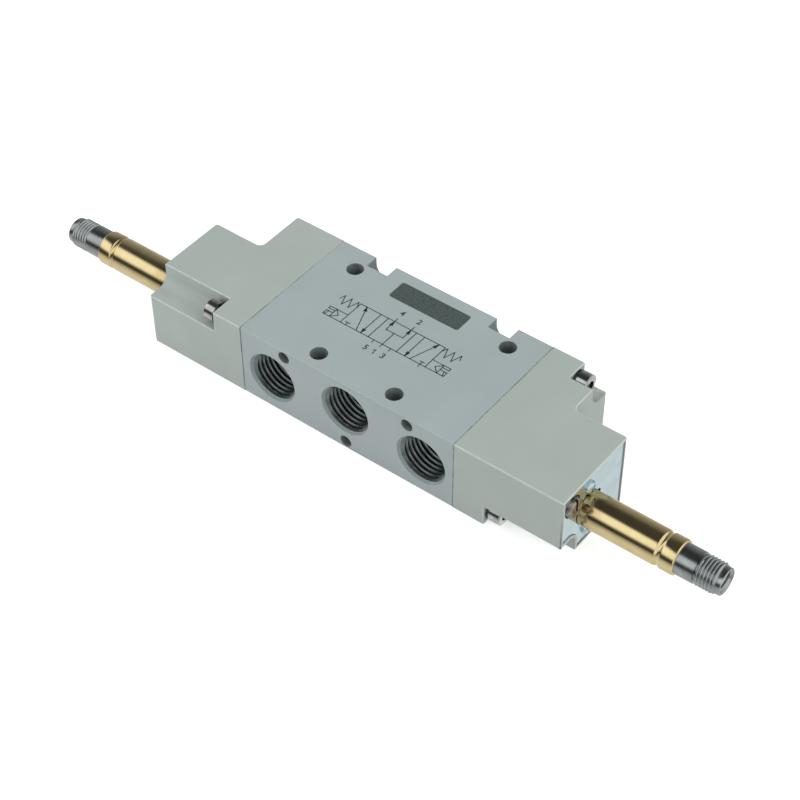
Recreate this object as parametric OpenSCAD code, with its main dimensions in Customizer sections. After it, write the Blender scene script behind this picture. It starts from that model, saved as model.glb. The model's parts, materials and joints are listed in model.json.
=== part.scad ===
// Five-port, three-position solenoid pilot valve with G 1/4 ports, shown without its coils.
// A spool runs in a stack of seals and slotted spacers inside an aluminium body. Each end cap
// holds a piston, a centring spring and a pilot stage with its armature tube. X runs along the
// spool, the three-port face is at -Y and the printed face at +Z. Origin: middle of the underside.

/* [Body] */
// Length of the body along the spool
body_l = 63.6; // [62.4:0.1:68]
// Width of the body from the three-port face to the two-port face
body_w = 40.2; // [40:0.1:44]
// Height of the body and of the end caps
body_h = 21.3; // [21.2:0.1:22.4]
// Chamfer on the long edges of the body
body_chamfer = 0.3; // [0.1:0.05:0.6]

/* [Ports] */
// Distance from the end of the body to the axis of an outer port
port_inset = 9.3; // [9.1:0.1:9.5]
// Height of the two outer ports and of both rear ports
port_z = 9.9; // [9.6:0.1:10.4]
// Height of the middle port on the three-port face
supply_port_z = 12.4; // [12:0.1:12.8]
// Radius of a port at the thread's major diameter
port_r = 6.58; // [6.4:0.01:6.6]
// Radius of the shallow counterbore round the mouth of a port
port_mouth_r = 7; // [6.9:0.05:7.1]
// Depth of that counterbore
port_mouth_depth = 0.8; // [0.4:0.1:1.2]
// Depth of a port down to the end of its thread
port_depth = 10.8; // [9.5:0.1:11]
// Length of the cone between a port and its drilling
port_taper_l = 1.2; // [0.8:0.1:1.3]
// Radius of the drilling from a port into the spool bore
port_drill_r = 3.8; // [3:0.1:4]

/* [Mounting holes] */
// Radius of the four holes from top to bottom
vertical_hole_r = 2.2; // [1.8:0.05:2.3]
// Distance from the three-port face to the two vertical holes between its ports
front_hole_inset = 4.7; // [4.3:0.1:4.9]
// Distance from the two-port face to the two vertical holes near it
back_hole_inset = 6.8; // [6.6:0.1:7]
// Distance from the end of the body to the same two holes
back_hole_end_inset = 8.7; // [8.5:0.1:8.9]
// Radius of the three holes from front to back
cross_hole_r = 1.65; // [1.3:0.05:1.7]
// Distance from the end of the body to an upper hole from front to back
cross_hole_inset = 13.4; // [13.2:0.1:13.6]
// Distance from the upper holes to the top face
upper_cross_hole_drop = 2.25; // [2.1:0.05:2.4]
// Height of the single lower hole from front to back
lower_cross_hole_z = 2.1; // [1.9:0.05:2.2]
// Width of the open screw-head recess at the back end of these holes
head_slot_w = 6.4; // [5.8:0.1:6.6]
// Depth of that recess
head_slot_depth = 4; // [3.2:0.1:4.2]

/* [Pilot air] */
// Radius of the two feed galleries along the body
gallery_r = 0.9; // [0.6:0.05:1]
// Height of a gallery above or below the axis of the spool
gallery_rise = 5.6; // [5.5:0.05:5.7]
// Wall between a gallery and the piston bore
gallery_wall = 0.85; // [0.7:0.05:0.9]
// Radius of the drilling from an armature chamber to the piston
outlet_r = 0.8; // [0.5:0.05:0.85]
// Distance from the axis of the tube to that drilling
outlet_offset = 3.1; // [3.05:0.05:3.15]
// Depth of the air space behind a nozzle
feed_space_l = 1.5; // [1:0.1:2]

/* [End caps] */
// Length of an end cap
cap_l = 30; // [29.4:0.1:32]
// Length of the full-width part of an end cap
flange_l = 15.3; // [15:0.1:16]
// Distance from the middle plane to the rear wall of the tower
tower_back_y = 5.7; // [5.2:0.1:7]
// Radius in the corner between the full-width part and the tower
step_fillet = 1.6; // [0.5:0.1:3]
// Radius of the upright outer corners
cap_corner_r = 0.6; // [0.3:0.1:1.2]
// Radius of the piston bore
piston_bore_r = 7.2; // [7:0.05:7.3]
// Depth of the piston bore
piston_bore_depth = 13.2; // [13.1:0.05:13.4]

/* [Cap screws] */
// Distance from a side face to a cap screw
screw_inset_y = 3.3; // [3.2:0.1:3.6]
// Distance from the top or underside to a cap screw
screw_inset_z = 2.9; // [2.8:0.05:3]
// Distance from the body to the seat of the screw head
screw_seat = 8.8; // [8.2:0.1:9.4]
// Gap round the screw head in its channel
channel_clearance = 0.35; // [0.2:0.05:0.4]
// Radius of the screw head
screw_head_r = 2.75; // [2.5:0.05:2.8]
// Height of the screw head
screw_head_h = 3; // [2.5:0.1:3.4]
// Radius of the screw shank
screw_r = 1.5; // [1.2:0.05:1.5]
// Length of the screw below its head
screw_l = 12; // [11:0.5:12]
// Width across the flats of the hexagon socket
screw_hex_af = 2.5; // [2:0.1:2.5]
// Depth of the hexagon socket
screw_hex_depth = 1.5; // [1:0.1:1.6]

/* [Spool] */
// Radius of the bore through the body
spool_bore_r = 6; // [5.8:0.05:6]
// Radius of the spool's lands
land_r = 4; // [3.9:0.05:4.05]
// Radius of the spool between its lands
neck_r = 2.6; // [2.2:0.1:3]
// Travel of the spool each way from the middle
spool_travel = 4; // [3.8:0.05:4]
// Width of one spool seal
seal_w = 2.4; // [2.2:0.05:2.5]
// Overlap of a land past a seal that it closes at the end of the travel
land_overlap = 0.1; // [0.05:0.05:0.15]
// Overlap of an inner land past the middle seal at rest
land_lap = 0.3; // [0.1:0.05:0.5]
// Depth of the flare from a seal's lip to its side
seal_flare = 0.5; // [0.3:0.05:0.6]
// Depth of the waist in a seal's outer face
seal_waist = 0.25; // [0.1:0.05:0.4]
// Wall of a spacer ring
spacer_wall = 1.3; // [1:0.1:1.35]
// Radius of the windows in a spacer ring
window_r = 2.1; // [1.6:0.1:2.3]
// Depth of the groove that joins the windows outside
spacer_groove = 0.6; // [0.3:0.05:0.8]
// Width of that groove beside the windows
spacer_groove_side = 0.4; // [0.2:0.1:0.6]
// Gap between a land and the retainer ring
retainer_gap = 0.3; // [0.1:0.05:0.5]
// Flare at the outer end of the retainer ring
retainer_flare = 0.4; // [0.2:0.05:0.6]

/* [Pistons] */
// Thickness of a piston
piston_t = 4.8; // [4.6:0.05:4.9]
// Radius of the pin that joins spool and piston
spool_pin_r = 2; // [1.6:0.1:2.2]
// Length of that pin
spool_pin_l = 1.8; // [1.4:0.1:2.2]
// Radius of the piston's middle boss inside the spring
piston_boss_r = 3.4; // [3.1:0.1:3.5]
// Outer radius of the spring recess in the piston
spring_recess_r = 5; // [4.9:0.1:5.4]
// Depth of the spring recess in the piston
spring_recess_depth = 3.5; // [3.2:0.1:3.6]
// Section radius of the piston seal
piston_seal_r = 0.6; // [0.4:0.05:0.7]
// Distance from the middle of the piston to its seal
piston_seal_shift = 0.6; // [0.5:0.05:0.7]
// Mean radius of the centring spring
spring_mean_r = 4.2; // [4.1:0.05:4.3]
// Wire radius of the centring spring
spring_wire_r = 0.35; // [0.25:0.05:0.4]
// Turns of the centring spring
spring_turns = 5; // [4:1:6]

/* [Cap gaskets] */
// Thickness of the gasket between body and cap
gasket_t = 0.8; // [0.6:0.05:1]
// Radial width of the gasket
gasket_w = 2.2; // [1.8:0.1:2.4]
// Radial gap between the gasket and the piston bore
gasket_bore_gap = 0.3; // [0.2:0.05:0.4]
// Width of the gasket round the feed hole
gasket_lobe_w = 1; // [0.7:0.05:1.2]
// Gap between the gasket and its recess
gasket_gap = 0.1; // [0.05:0.01:0.15]

/* [Pilot plates] */
// Thickness of the steel plate in the end of a cap
plate_t = 1.5; // [1.2:0.1:1.8]
// Depth of the plate's outer face below the end of the cap
plate_sink = 0.25; // [0.1:0.05:0.5]
// Wall left beside the plate at the sides
lip_side = 0.8; // [0.6:0.05:1]
// Wall left beside the plate at top and bottom
lip_top = 0.55; // [0.4:0.05:0.8]
// Gap between the plate and its recess
plate_gap = 0.12; // [0.05:0.01:0.2]
// Distance between the two plate screws
plate_screw_spacing = 13.6; // [13.4:0.1:13.8]
// Radius of a plate screw's head
plate_screw_head_r = 1.7; // [1.5:0.05:1.75]
// Height of a plate screw's head
plate_screw_head_h = 1.1; // [0.8:0.1:1.3]
// Radius of a plate screw's shank
plate_screw_r = 1; // [0.8:0.05:1]
// Length of a plate screw below its head
plate_screw_l = 6; // [4:0.5:7]
// Width of the slots in its cross recess
plate_screw_slot_w = 0.5; // [0.4:0.05:0.6]
// Radius of the locating notch beside the tube
notch_r = 1; // [0.8:0.05:1.2]
// Distance from the axis of the tube to the middle of the notch, towards the back
notch_y = 4.1; // [4:0.1:4.3]
// Height of the notch above the axis of the tube
notch_rise = 1.5; // [1:0.1:2]

/* [Armature tubes] */
// Distance from the three-port side to the axis of a tube
tube_inset = 11; // [10.9:0.05:11.1]
// Radius of the brass tube
tube_r = 4.5; // [4.4:0.01:4.55]
// Wall of the brass tube
tube_wall = 0.65; // [0.5:0.05:0.7]
// Radius of the tube's neck in the plate
tube_neck_r = 4.3; // [4.2:0.01:4.34]
// Height of that neck above the plate
tube_neck_rise = 0.15; // [0.1:0.05:0.3]
// Length of brass that stands out of the cap
tube_l = 24.8; // [23:0.1:27]
// Radius of the tube's foot under the plate
tube_foot_r = 5.4; // [5.2:0.05:5.45]
// Thickness of that foot
tube_foot_t = 2.1; // [1.8:0.1:2.2]
// Distance from the end of the brass to the rolled groove
groove_setback = 3.4; // [3:0.1:4]
// Width of the rolled groove
groove_w = 3; // [2.4:0.1:3.2]
// Depth of the rolled groove
groove_depth = 0.4; // [0.2:0.05:0.5]
// Section radius of the seal under the foot
tube_seal_r = 0.46; // [0.35:0.01:0.46]
// Radius of the rolled-in end of the brass
tube_roll_r = 0.45; // [0.2:0.05:0.5]
// Depth of the armature chamber below the seal's pocket
chamber_depth = 2.6; // [2.2:0.1:3]

/* [Fixed cores] */
// Radius of the steel outside the brass
core_r = 3.96; // [3.9:0.01:4]
// Length of plain steel outside the brass
core_plain_l = 4.6; // [4:0.1:6]
// Width of the relief before the thread
core_relief_w = 0.4; // [0.3:0.05:0.6]
// Radius of that relief
core_relief_r = 3.4; // [3.2:0.01:3.44]
// Length of the thread for the coil nut
core_thread_l = 4.2; // [3.8:0.1:5]
// Radius at the root of that thread
core_thread_r = 3.6; // [3.58:0.01:3.7]
// Length of the plain end
core_tip_l = 2.2; // [1.6:0.1:3]
// Radius of the plain end
core_tip_r = 3.42; // [3.3:0.02:3.44]
// Radius of the exhaust hole in the end
exhaust_r = 2.1; // [1.9:0.05:2.2]
// Depth of the exhaust hole
exhaust_depth = 6; // [5:0.5:8]
// Radius of the chamfered mouth of that hole
exhaust_mouth_r = 2.7; // [2.5:0.05:2.8]

/* [Armatures] */
// Radial running clearance of the armature in its tube
armature_clearance = 0.07; // [0.03:0.01:0.1]
// Lift of the armature
armature_lift = 0.8; // [0.6:0.05:0.85]
// Gap between the nozzle and the metal of the closed armature
armature_gap = 0.4; // [0.2:0.05:0.5]
// Gap left between the lifted armature and the core
core_gap = 0.1; // [0.05:0.01:0.2]
// Length of the armature
armature_l = 21.3; // [19:0.1:22]
// Radius of the rubber seal in the lower end
armature_seal_r = 1.9; // [1.6:0.1:2.1]
// Thickness of the rubber seal in the lower end
armature_seal_t = 2.5; // [1.8:0.1:2.8]
// Radius of the rubber pad in the upper end
pad_r = 1.2; // [0.9:0.05:1.3]
// Thickness of that pad
pad_t = 1.6; // [1.2:0.1:2]
// Height of the pad above its post
pad_rise = 0.15; // [0.05:0.05:0.25]
// Distance from the end of the armature down to the post
post_setback = 0.35; // [0.3:0.05:0.5]
// Outer radius of the ring-shaped spring recess in the upper end
armature_recess_r = 2.95; // [2.8:0.05:3]
// Inner radius of that recess
armature_post_r = 1.75; // [1.6:0.05:1.8]
// Depth of that recess
armature_recess_depth = 5; // [4:0.1:6]
// Wire radius of the armature spring
armature_wire_r = 0.25; // [0.15:0.05:0.3]
// Turns of the armature spring
armature_turns = 5; // [4:1:6]
// Number of flutes along the armature
flutes = 3; // [2:1:6]
// Radius of a flute
flute_r = 0.7; // [0.4:0.05:0.9]
// Distance from the face of the armature to the middle of a flute
flute_rise = 0.3; // [0.1:0.05:0.5]

/* [Pilot nozzles] */
// Radius of the brass nozzle
nozzle_r = 2; // [1.6:0.1:2.2]
// Length of the nozzle
nozzle_l = 3.8; // [3.2:0.1:4.4]
// Height of the nozzle above the chamber floor
nozzle_rise = 0.8; // [0.4:0.1:1]
// Radius of the hole in the nozzle
nozzle_hole_r = 0.6; // [0.4:0.05:0.8]
// Width of the seat round that hole
nozzle_seat_w = 0.4; // [0.2:0.05:0.5]

/* [Manual overrides] */
// Distance from the three-port side to the override's axis
override_inset_y = 4.3; // [4.2:0.1:4.5]
// Distance from the top face to the override's axis
override_inset_z = 4.6; // [4.5:0.1:4.8]
// Radius of the override's shaft and face
override_r = 2.6; // [2.4:0.05:2.65]
// Radius of the hole for it in the plate
override_hole_r = 3; // [2.8:0.05:3]
// Radius of the collar that holds it under the plate
override_collar_r = 3.3; // [3.2:0.05:3.35]
// Thickness of that collar
override_collar_t = 1.5; // [1:0.1:2]
// Length of the override from its face
override_l = 13.4; // [10:0.1:15]
// Width of the screwdriver slot
override_slot_w = 0.9; // [0.6:0.05:1.2]
// Depth of the screwdriver slot
override_slot_depth = 0.9; // [0.5:0.05:1.2]
// Height of the face above the plate
override_stand = 0.15; // [0:0.05:0.25]
// Section radius of the override's seal
override_seal_r = 0.4; // [0.3:0.05:0.5]
// Distance from the inner end to that seal
override_seal_setback = 4.4; // [4:0.1:5]
// Length of the flat that works as a cam at the inner end
override_cam_l = 2.4; // [1.6:0.1:3]

/* [Clearances] */
// Running clearance between sliding or turning pieces
running_fit = 0.05; // [0.02:0.01:0.08]
// Clearance round a screw in its clearance hole
screw_clearance = 0.2; // [0.1:0.05:0.3]
// Clearance between pieces that are pressed or laid together
seat_fit = 0.03; // [0.01:0.01:0.05]
// Clearance round a seal in its pocket, and at the ends of a spring
end_gap = 0.05; // [0.02:0.01:0.08]
// Clearance at the floor of a drilled hole
floor_gap = 0.5; // [0.3:0.1:1]

/* [Hidden] */
// Small overlap that lets a cut run out of the material
cut = 1;
round_fn = 64;
small_fn = 40;
seal_fn = 24;
// Chamfers on turned pieces
edge = 0.3;
small_edge = 0.2;
mid_z = body_h / 2;
half_l = body_l / 2;
half_w = body_w / 2;
port_pitch = half_l - port_inset;
seal_pitch = port_pitch / 2;
tube_y = half_w - tube_inset;

// Screw channels and screws, as seen on the right-hand cap
channel_r = screw_head_r + channel_clearance;
channel_y = half_w - screw_inset_y;
// Body thread hole, a little deeper than the screw reaches
thread_hole_depth = screw_l - screw_seat + floor_gap;

// Feed gallery for the right-hand pilot, just outside the piston bore
gallery_distance = piston_bore_r + gallery_wall + gallery_r;
gallery_y = -sqrt(pow(gallery_distance, 2) - pow(gallery_rise, 2));
gallery_z = mid_z + gallery_rise;

// Spool: positions are measured from the middle, and the other half mirrors them
inner_seal = seal_pitch / 2;
middle_seal = inner_seal + seal_pitch;
outer_seal = middle_seal + seal_pitch;
inner_land_start = inner_seal - seal_w / 2 + spool_travel - land_overlap;
inner_land_end = middle_seal + seal_w / 2 + land_lap;
outer_land_start = outer_seal - seal_w / 2 - spool_travel - land_overlap;
piston_gap = 0.2;
piston_start = half_l + spool_travel + piston_gap;
ring_r = spool_bore_r - seat_fit;
spacer_l = seal_pitch - seal_w;
spacer_groove_l = 2 * (window_r + spacer_groove_side);
retainer_l = half_l - outer_seal - seal_w / 2;

// Piston and its spring, measured from the end of the body
piston_r = piston_bore_r - 2 * running_fit;
piston_seal_mean = piston_bore_r - running_fit - piston_seal_r;
spring_start = spool_travel + piston_gap + piston_t - spring_recess_depth;
piston_seal_at = piston_start + piston_t / 2 - piston_seal_shift;
gasket_in = piston_bore_r + gasket_bore_gap;
gasket_out = gasket_in + gasket_w;
gasket_lobe_r = gallery_r + gasket_lobe_w;

// Plate, tube and core, measured from the end of the body
plate_out = cap_l - plate_sink;
plate_in = plate_out - plate_t;
tube_in = tube_r - tube_wall;
foot_start = plate_in - tube_foot_t;
pocket_start = foot_start - 2 * tube_seal_r - 2 * end_gap;
pocket_r = tube_foot_r + 2 * end_gap;
tube_end = cap_l + tube_l;
nose_start = pocket_start + 2 * end_gap;
chamber_start = pocket_start - chamber_depth;
chamber_r = tube_r - tube_wall + 3 * end_gap;
nozzle_tip = chamber_start + nozzle_rise;
nozzle_foot = nozzle_tip - nozzle_l;
armature_start = nozzle_tip + armature_gap;
armature_end = armature_start + armature_l;
armature_r = tube_in - armature_clearance;
core_start = armature_end + armature_lift + core_gap;
core_in_r = tube_in - seat_fit;
groove_start = tube_end - groove_setback - groove_w;
// The lifted pad closes the seat round the core's bore
pad_top = armature_end - post_setback + pad_rise;
core_seat = pad_top + armature_lift;
core_seat_w = 0.35;
armature_mean_r = (armature_recess_r + armature_post_r) / 2;

// Override, as seen on the right-hand cap
override_y = -half_w + override_inset_y;
override_z = body_h - override_inset_z;
override_out = plate_out + override_stand;
override_in = override_out - override_l;
override_seal_at = override_in + override_seal_setback;

BODY = [0.60, 0.65, 0.65];
CAP = [0.64, 0.68, 0.66];
BRASS = [0.78, 0.64, 0.36];
STEEL = [0.55, 0.57, 0.58];
ZINC = [0.70, 0.77, 0.82];
RUBBER = [0.12, 0.12, 0.12];
ALLOY = [0.75, 0.76, 0.78];

// Shared shapes

// A bar along X from one place to another
module bar(from, to, r, y = 0, z = 0, fn = round_fn)
    translate([from, y, z])
        rotate([0, 90, 0])
            cylinder(h = to - from, r = r, $fn = fn);

// A half outline, given as [place along X, radius] points, turned about X
module turned(points, y = 0, z = 0, fn = round_fn)
    translate([0, y, z])
        rotate([0, 90, 0])
            rotate_extrude($fn = fn)
                polygon([for (p = points) [p[1], p[0]]]);

// A round ring of round section about an axis along X
module o_ring(at, mean_r, section_r, y = 0, z = 0)
    translate([at, y, z])
        rotate([0, 90, 0])
            rotate_extrude($fn = round_fn)
                translate([mean_r, 0])
                circle(r = section_r, $fn = seal_fn);

// The same piece at the left-hand end: half a turn about the front-to-back axis
module other_end()
    translate([0, 0, body_h])
        rotate([0, 180, 0])
            children();

// Points of one ring of a wire, at an angle along its helix
function wire_ring(mean_r, wire_r, start, pitch, angle, sides) = [
    for (s = [0 : sides - 1])
        let (a = 360 * s / sides, r = mean_r + wire_r * cos(a))
            [start + pitch * angle / 360 + wire_r * sin(a), r * cos(angle), r * sin(angle)]
];

// A coil spring along X whose wire stays between two places
module coil_spring(from, to, mean_r, wire_r, turns, y = 0, z = 0) {
    sides = 8;
    steps_per_turn = 18;
    steps = turns * steps_per_turn;
    pitch = (to - from - 2 * wire_r) / turns;
    rings = [for (i = [0 : steps])
        wire_ring(mean_r, wire_r, from + wire_r, pitch, 360 * i / steps_per_turn, sides)];
    points = [for (ring = rings) for (p = ring) p];
    walls = [for (i = [0 : steps - 1]) for (s = [0 : sides - 1])
        let (a = i * sides + s, b = i * sides + (s + 1) % sides)
            [a, b, b + sides, a + sides]];
    first_end = [for (s = [sides - 1 : -1 : 0]) s];
    last_end = [for (s = [0 : sides - 1]) steps * sides + s];
    translate([0, y, z])
        polyhedron(points = points, faces = concat([first_end], walls, [last_end]));
}

// Body

// One threaded port, bored from the plane y = 0 towards +Y
module port_bore(reach)
    rotate([-90, 0, 0]) {
        translate([0, 0, -cut])
            cylinder(h = port_mouth_depth + cut, r = port_mouth_r, $fn = round_fn);
        cylinder(h = port_depth, r = port_r, $fn = round_fn);
        translate([0, 0, port_depth])
            cylinder(h = port_taper_l, r1 = port_r, r2 = port_drill_r, $fn = round_fn);
        cylinder(h = reach, r = port_drill_r, $fn = round_fn);
    }

// A hole from front to back, with its open screw-head recess at the back
module cross_hole(x, z, up) {
    translate([x, -half_w - cut, z])
        rotate([-90, 0, 0])
            cylinder(h = body_w + 2 * cut, r = cross_hole_r, $fn = small_fn);
    translate([x, half_w - head_slot_depth, z])
        rotate([-90, 0, 0])
            cylinder(h = head_slot_depth + cut, r = head_slot_w / 2, $fn = small_fn);
    translate([x - head_slot_w / 2, half_w - head_slot_depth, up ? z : -cut])
        cube([head_slot_w, head_slot_depth + cut, up ? body_h - z + cut : z + cut]);
}

module body_block() {
    c = body_chamfer;
    translate([-half_l, 0, 0])
        rotate([90, 0, 90])
            linear_extrude(height = body_l)
                polygon([[-half_w + c, 0], [half_w - c, 0], [half_w, c], [half_w, body_h - c],
                    [half_w - c, body_h], [-half_w + c, body_h], [-half_w, body_h - c],
                    [-half_w, c]]);
}

module valve_body()
    color(BODY)
        difference() {
            body_block();
            bar(-half_l - cut, half_l + cut, spool_bore_r, 0, mid_z);
            bar(-half_l - cut, half_l + cut, gallery_r, gallery_y, gallery_z, small_fn);
            bar(-half_l - cut, half_l + cut, gallery_r, gallery_y, body_h - gallery_z, small_fn);
            for (x = [-port_pitch, port_pitch])
                translate([x, -half_w, port_z])
                    port_bore(half_w);
            translate([0, -half_w, supply_port_z])
                port_bore(half_w);
            for (x = [-seal_pitch, seal_pitch])
                translate([x, half_w, port_z])
                    mirror([0, 1, 0])
                        port_bore(half_w);
            for (side = [-1, 1]) {
                vertical_hole(side * seal_pitch, front_hole_inset - half_w);
                vertical_hole(side * (half_l - back_hole_end_inset), half_w - back_hole_inset);
                cross_hole(side * (half_l - cross_hole_inset), body_h - upper_cross_hole_drop,
                    true);
            }
            cross_hole(0, lower_cross_hole_z, false);
            gallery_link();
            body_screw_holes();
            other_end() body_screw_holes();
        }

module vertical_hole(x, y)
    translate([x, y, -cut])
        cylinder(h = body_h + 2 * cut, r = vertical_hole_r, $fn = small_fn);

// The middle port cuts the upper gallery, and this drilling joins the lower one to it
module gallery_link()
    translate([0, gallery_y, body_h - gallery_z])
        cylinder(h = 2 * gallery_rise, r = gallery_r, $fn = small_fn);

// Thread holes for the cap screws in the right-hand end
module body_screw_holes()
    for (s = [[-channel_y, screw_inset_z], [channel_y, body_h - screw_inset_z]])
        bar(half_l - thread_hole_depth, half_l + cut, screw_r + seat_fit, s[0], s[1], small_fn);

// Spool, seals and spacers

// One half of the spool's outline, from the middle outwards
function spool_half() = let (c = edge) [
    [inner_land_start, neck_r], [inner_land_start, land_r - c], [inner_land_start + c, land_r],
    [inner_land_end - c, land_r], [inner_land_end, land_r - c], [inner_land_end, neck_r],
    [outer_land_start, neck_r], [outer_land_start, land_r - c], [outer_land_start + c, land_r],
    [piston_start, land_r], [piston_start, spool_pin_r], [piston_start + spool_pin_l, spool_pin_r]
];

function mirrored(points) =
    [for (i = [len(points) - 1 : -1 : 0]) [-points[i][0], points[i][1]]];

module spool() {
    half = spool_half();
    last = half[len(half) - 1][0];
    color(ALLOY)
        turned(concat([[-last, 0]], mirrored(half), half, [[last, 0]]), 0, mid_z);
}

module spool_seals()
    color(RUBBER)
        for (at = [-outer_seal, -middle_seal, -inner_seal, inner_seal, middle_seal, outer_seal])
            turned(seal_outline(at), 0, mid_z);

// A seal with a rounded lip on the spool and a waist in its outer face
function seal_outline(at) =
    let (w = seal_w / 2, lip = land_r + running_fit, side = lip + seal_flare,
        shoulder = lip + seal_flare / 5, waist = ring_r - seal_waist)
    [
        [at - w, ring_r], [at - w, side], [at - w / 2, shoulder], [at - w / 4, lip],
        [at + w / 4, lip], [at + w / 2, shoulder], [at + w, side], [at + w, ring_r],
        [at + w / 3, ring_r], [at + w / 4, waist], [at - w / 4, waist], [at - w / 3, ring_r]
    ];

// A slotted ring that holds two seals apart and lets air through its windows
module spacer(at) {
    inner = ring_r - spacer_wall;
    waist = ring_r - spacer_groove;
    difference() {
        turned([[at - spacer_l / 2, inner], [at - spacer_l / 2, ring_r],
            [at - spacer_groove_l / 2, ring_r], [at - spacer_groove_l / 2, waist],
            [at + spacer_groove_l / 2, waist], [at + spacer_groove_l / 2, ring_r],
            [at + spacer_l / 2, ring_r], [at + spacer_l / 2, inner]], 0, mid_z);
        for (a = [0, 60, 120])
            translate([at, 0, mid_z])
                rotate([a, 0, 0])
                    cylinder(h = 4 * ring_r, r = window_r, center = true, $fn = small_fn);
    }
}

module seal_spacers()
    color(BRASS)
        for (i = [-2 : 2])
            spacer(i * seal_pitch);

module right_seal_retainer() {
    inner = half_l - retainer_l;
    r = land_r + retainer_gap;
    color(BRASS)
        turned([[inner, r], [inner, ring_r], [half_l, ring_r], [half_l, r + retainer_flare],
            [half_l - retainer_flare, r]], 0, mid_z);
}

module left_seal_retainer() other_end() right_seal_retainer();

// End caps

// The cap seen from above, with the corner between its two widths filled round
module cap_outline() {
    r = cap_corner_r;
    f = step_fillet;
    difference() {
        union() {
            rounded_box(0, flange_l, -half_w, half_w, r);
            rounded_box(0, cap_l, -half_w, tower_back_y, r);
            translate([flange_l - r, tower_back_y - r])
                square([f + r, f + r]);
        }
        translate([flange_l + f, tower_back_y + f])
            circle(r = f, $fn = small_fn);
    }
}

// A box from one place to another with round outer corners and square corners at the body
module rounded_box(x0, x1, y0, y1, r) {
    translate([x0, y0])
        square([x1 - x0 - r, y1 - y0]);
    translate([x0, y0 + r])
        square([x1 - x0, y1 - y0 - 2 * r]);
    for (y = [y0 + r, y1 - r])
        translate([x1 - r, y])
            circle(r = r, $fn = small_fn);
}

// The open channel for a cap screw, with its inner corner round the screw head
module screw_channel(from, to, grow = 0) {
    r = channel_r + grow;
    y = -channel_y;
    z = screw_inset_z;
    bar(from, to, r, y, z, small_fn);
    translate([from, -half_w - cut, -cut])
        cube([to - from, y + half_w + cut, z + r + cut]);
    translate([from, -half_w - cut, -cut])
        cube([to - from, y + half_w + r + cut, z + cut]);
}

// Front-bottom and back-top corners hold the two screws of the right-hand cap
module diagonal_pair() {
    children();
    translate([0, 0, body_h])
        rotate([180, 0, 0])
            children();
}

// The outline of the plate recess, seen from the end, with a wall left round it
module plate_solid(from, to, inset) {
    top = lip_top + inset;
    side = lip_side + inset;
    difference() {
        translate([from, -half_w + side, top])
            cube([to - from, half_w + tower_back_y - 2 * side, body_h - 2 * top]);
        screw_channel(from - cut, to + cut, side);
    }
}

// The gasket's outline as a disc, with a lobe round the feed hole
module gasket_disc(from, to, grow) {
    bar(from, to, gasket_out + grow, 0, mid_z);
    bar(from, to, gasket_lobe_r + grow, gallery_y, gallery_z, small_fn);
}

// Bores of the pilot stage: tube pocket, armature chamber, nozzle seat and air ways
module pilot_bores() {
    e = half_l;
    bar(e + pocket_start, e + plate_in + cut, pocket_r, -tube_y, mid_z);
    bar(e + chamber_start, e + pocket_start + cut, chamber_r, -tube_y, mid_z);
    bar(e + nozzle_foot - feed_space_l, e + chamber_start + cut, nozzle_r + seat_fit, -tube_y,
        mid_z, small_fn);
    // Feed: along the gallery, then slanted down to the nozzle
    bar(e - cut, e + nozzle_foot, gallery_r, gallery_y, gallery_z, small_fn);
    run = gallery_y + tube_y;
    translate([e + nozzle_foot - feed_space_l / 2, -tube_y, mid_z])
        rotate([-atan2(run, gallery_rise), 0, 0])
            cylinder(h = norm([run, gallery_rise]), r = gallery_r / 2, $fn = small_fn);
    // Outlet: from the armature chamber to the piston
    bar(e + piston_bore_depth - cut, e + chamber_start + cut, outlet_r, outlet_offset - tube_y,
        mid_z, small_fn);
}

module override_bores() {
    e = half_l;
    bar(e + override_in - floor_gap, e + cap_l + cut, override_r + running_fit, override_y,
        override_z, small_fn);
    bar(e + plate_in - override_collar_t - running_fit, e + cap_l + cut,
        override_collar_r + running_fit, override_y, override_z, small_fn);
}

module right_end_cap()
    color(CAP)
        difference() {
            translate([half_l, 0, 0])
                linear_extrude(height = body_h)
                    cap_outline();
            bar(half_l - cut, half_l + piston_bore_depth, piston_bore_r, 0, mid_z);
            gasket_disc(half_l - cut, half_l + gasket_t, gasket_gap);
            diagonal_pair() {
                screw_channel(half_l + screw_seat, half_l + cap_l + cut);
                bar(half_l - cut, half_l + screw_seat + cut, screw_r + screw_clearance,
                    -channel_y, screw_inset_z, small_fn);
            }
            plate_solid(half_l + plate_in, half_l + cap_l + cut, 0);
            pilot_bores();
            override_bores();
            for (side = [-1, 1])
                bar(half_l + plate_out - plate_screw_l - floor_gap, half_l + cap_l,
                    plate_screw_r + seat_fit, -tube_y, mid_z + side * plate_screw_spacing / 2,
                    small_fn);
        }

module left_end_cap() other_end() right_end_cap();

// A socket cap screw whose head rests on its seat
module cap_screw() {
    seat = half_l + screw_seat;
    c = edge;
    difference() {
        turned([[seat - screw_l, 0], [seat - screw_l, screw_r - c], [seat - screw_l + c, screw_r],
            [seat, screw_r], [seat, screw_head_r], [seat + screw_head_h - c, screw_head_r],
            [seat + screw_head_h, screw_head_r - c], [seat + screw_head_h, 0]],
            -channel_y, screw_inset_z, small_fn);
        bar(seat + screw_head_h - screw_hex_depth, seat + screw_head_h + cut,
            screw_hex_af / 2 / cos(30), -channel_y, screw_inset_z, 6);
    }
}

module right_cap_screws()
    color(STEEL)
        diagonal_pair() cap_screw();

module left_cap_screws() other_end() right_cap_screws();

module right_cap_gasket()
    color(RUBBER)
        difference() {
            gasket_disc(half_l, half_l + gasket_t, 0);
            bar(half_l - cut, half_l + gasket_t + cut, gasket_in, 0, mid_z);
            bar(half_l - cut, half_l + gasket_t + cut, gallery_r, gallery_y, gallery_z, small_fn);
        }

module left_cap_gasket() other_end() right_cap_gasket();

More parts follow.
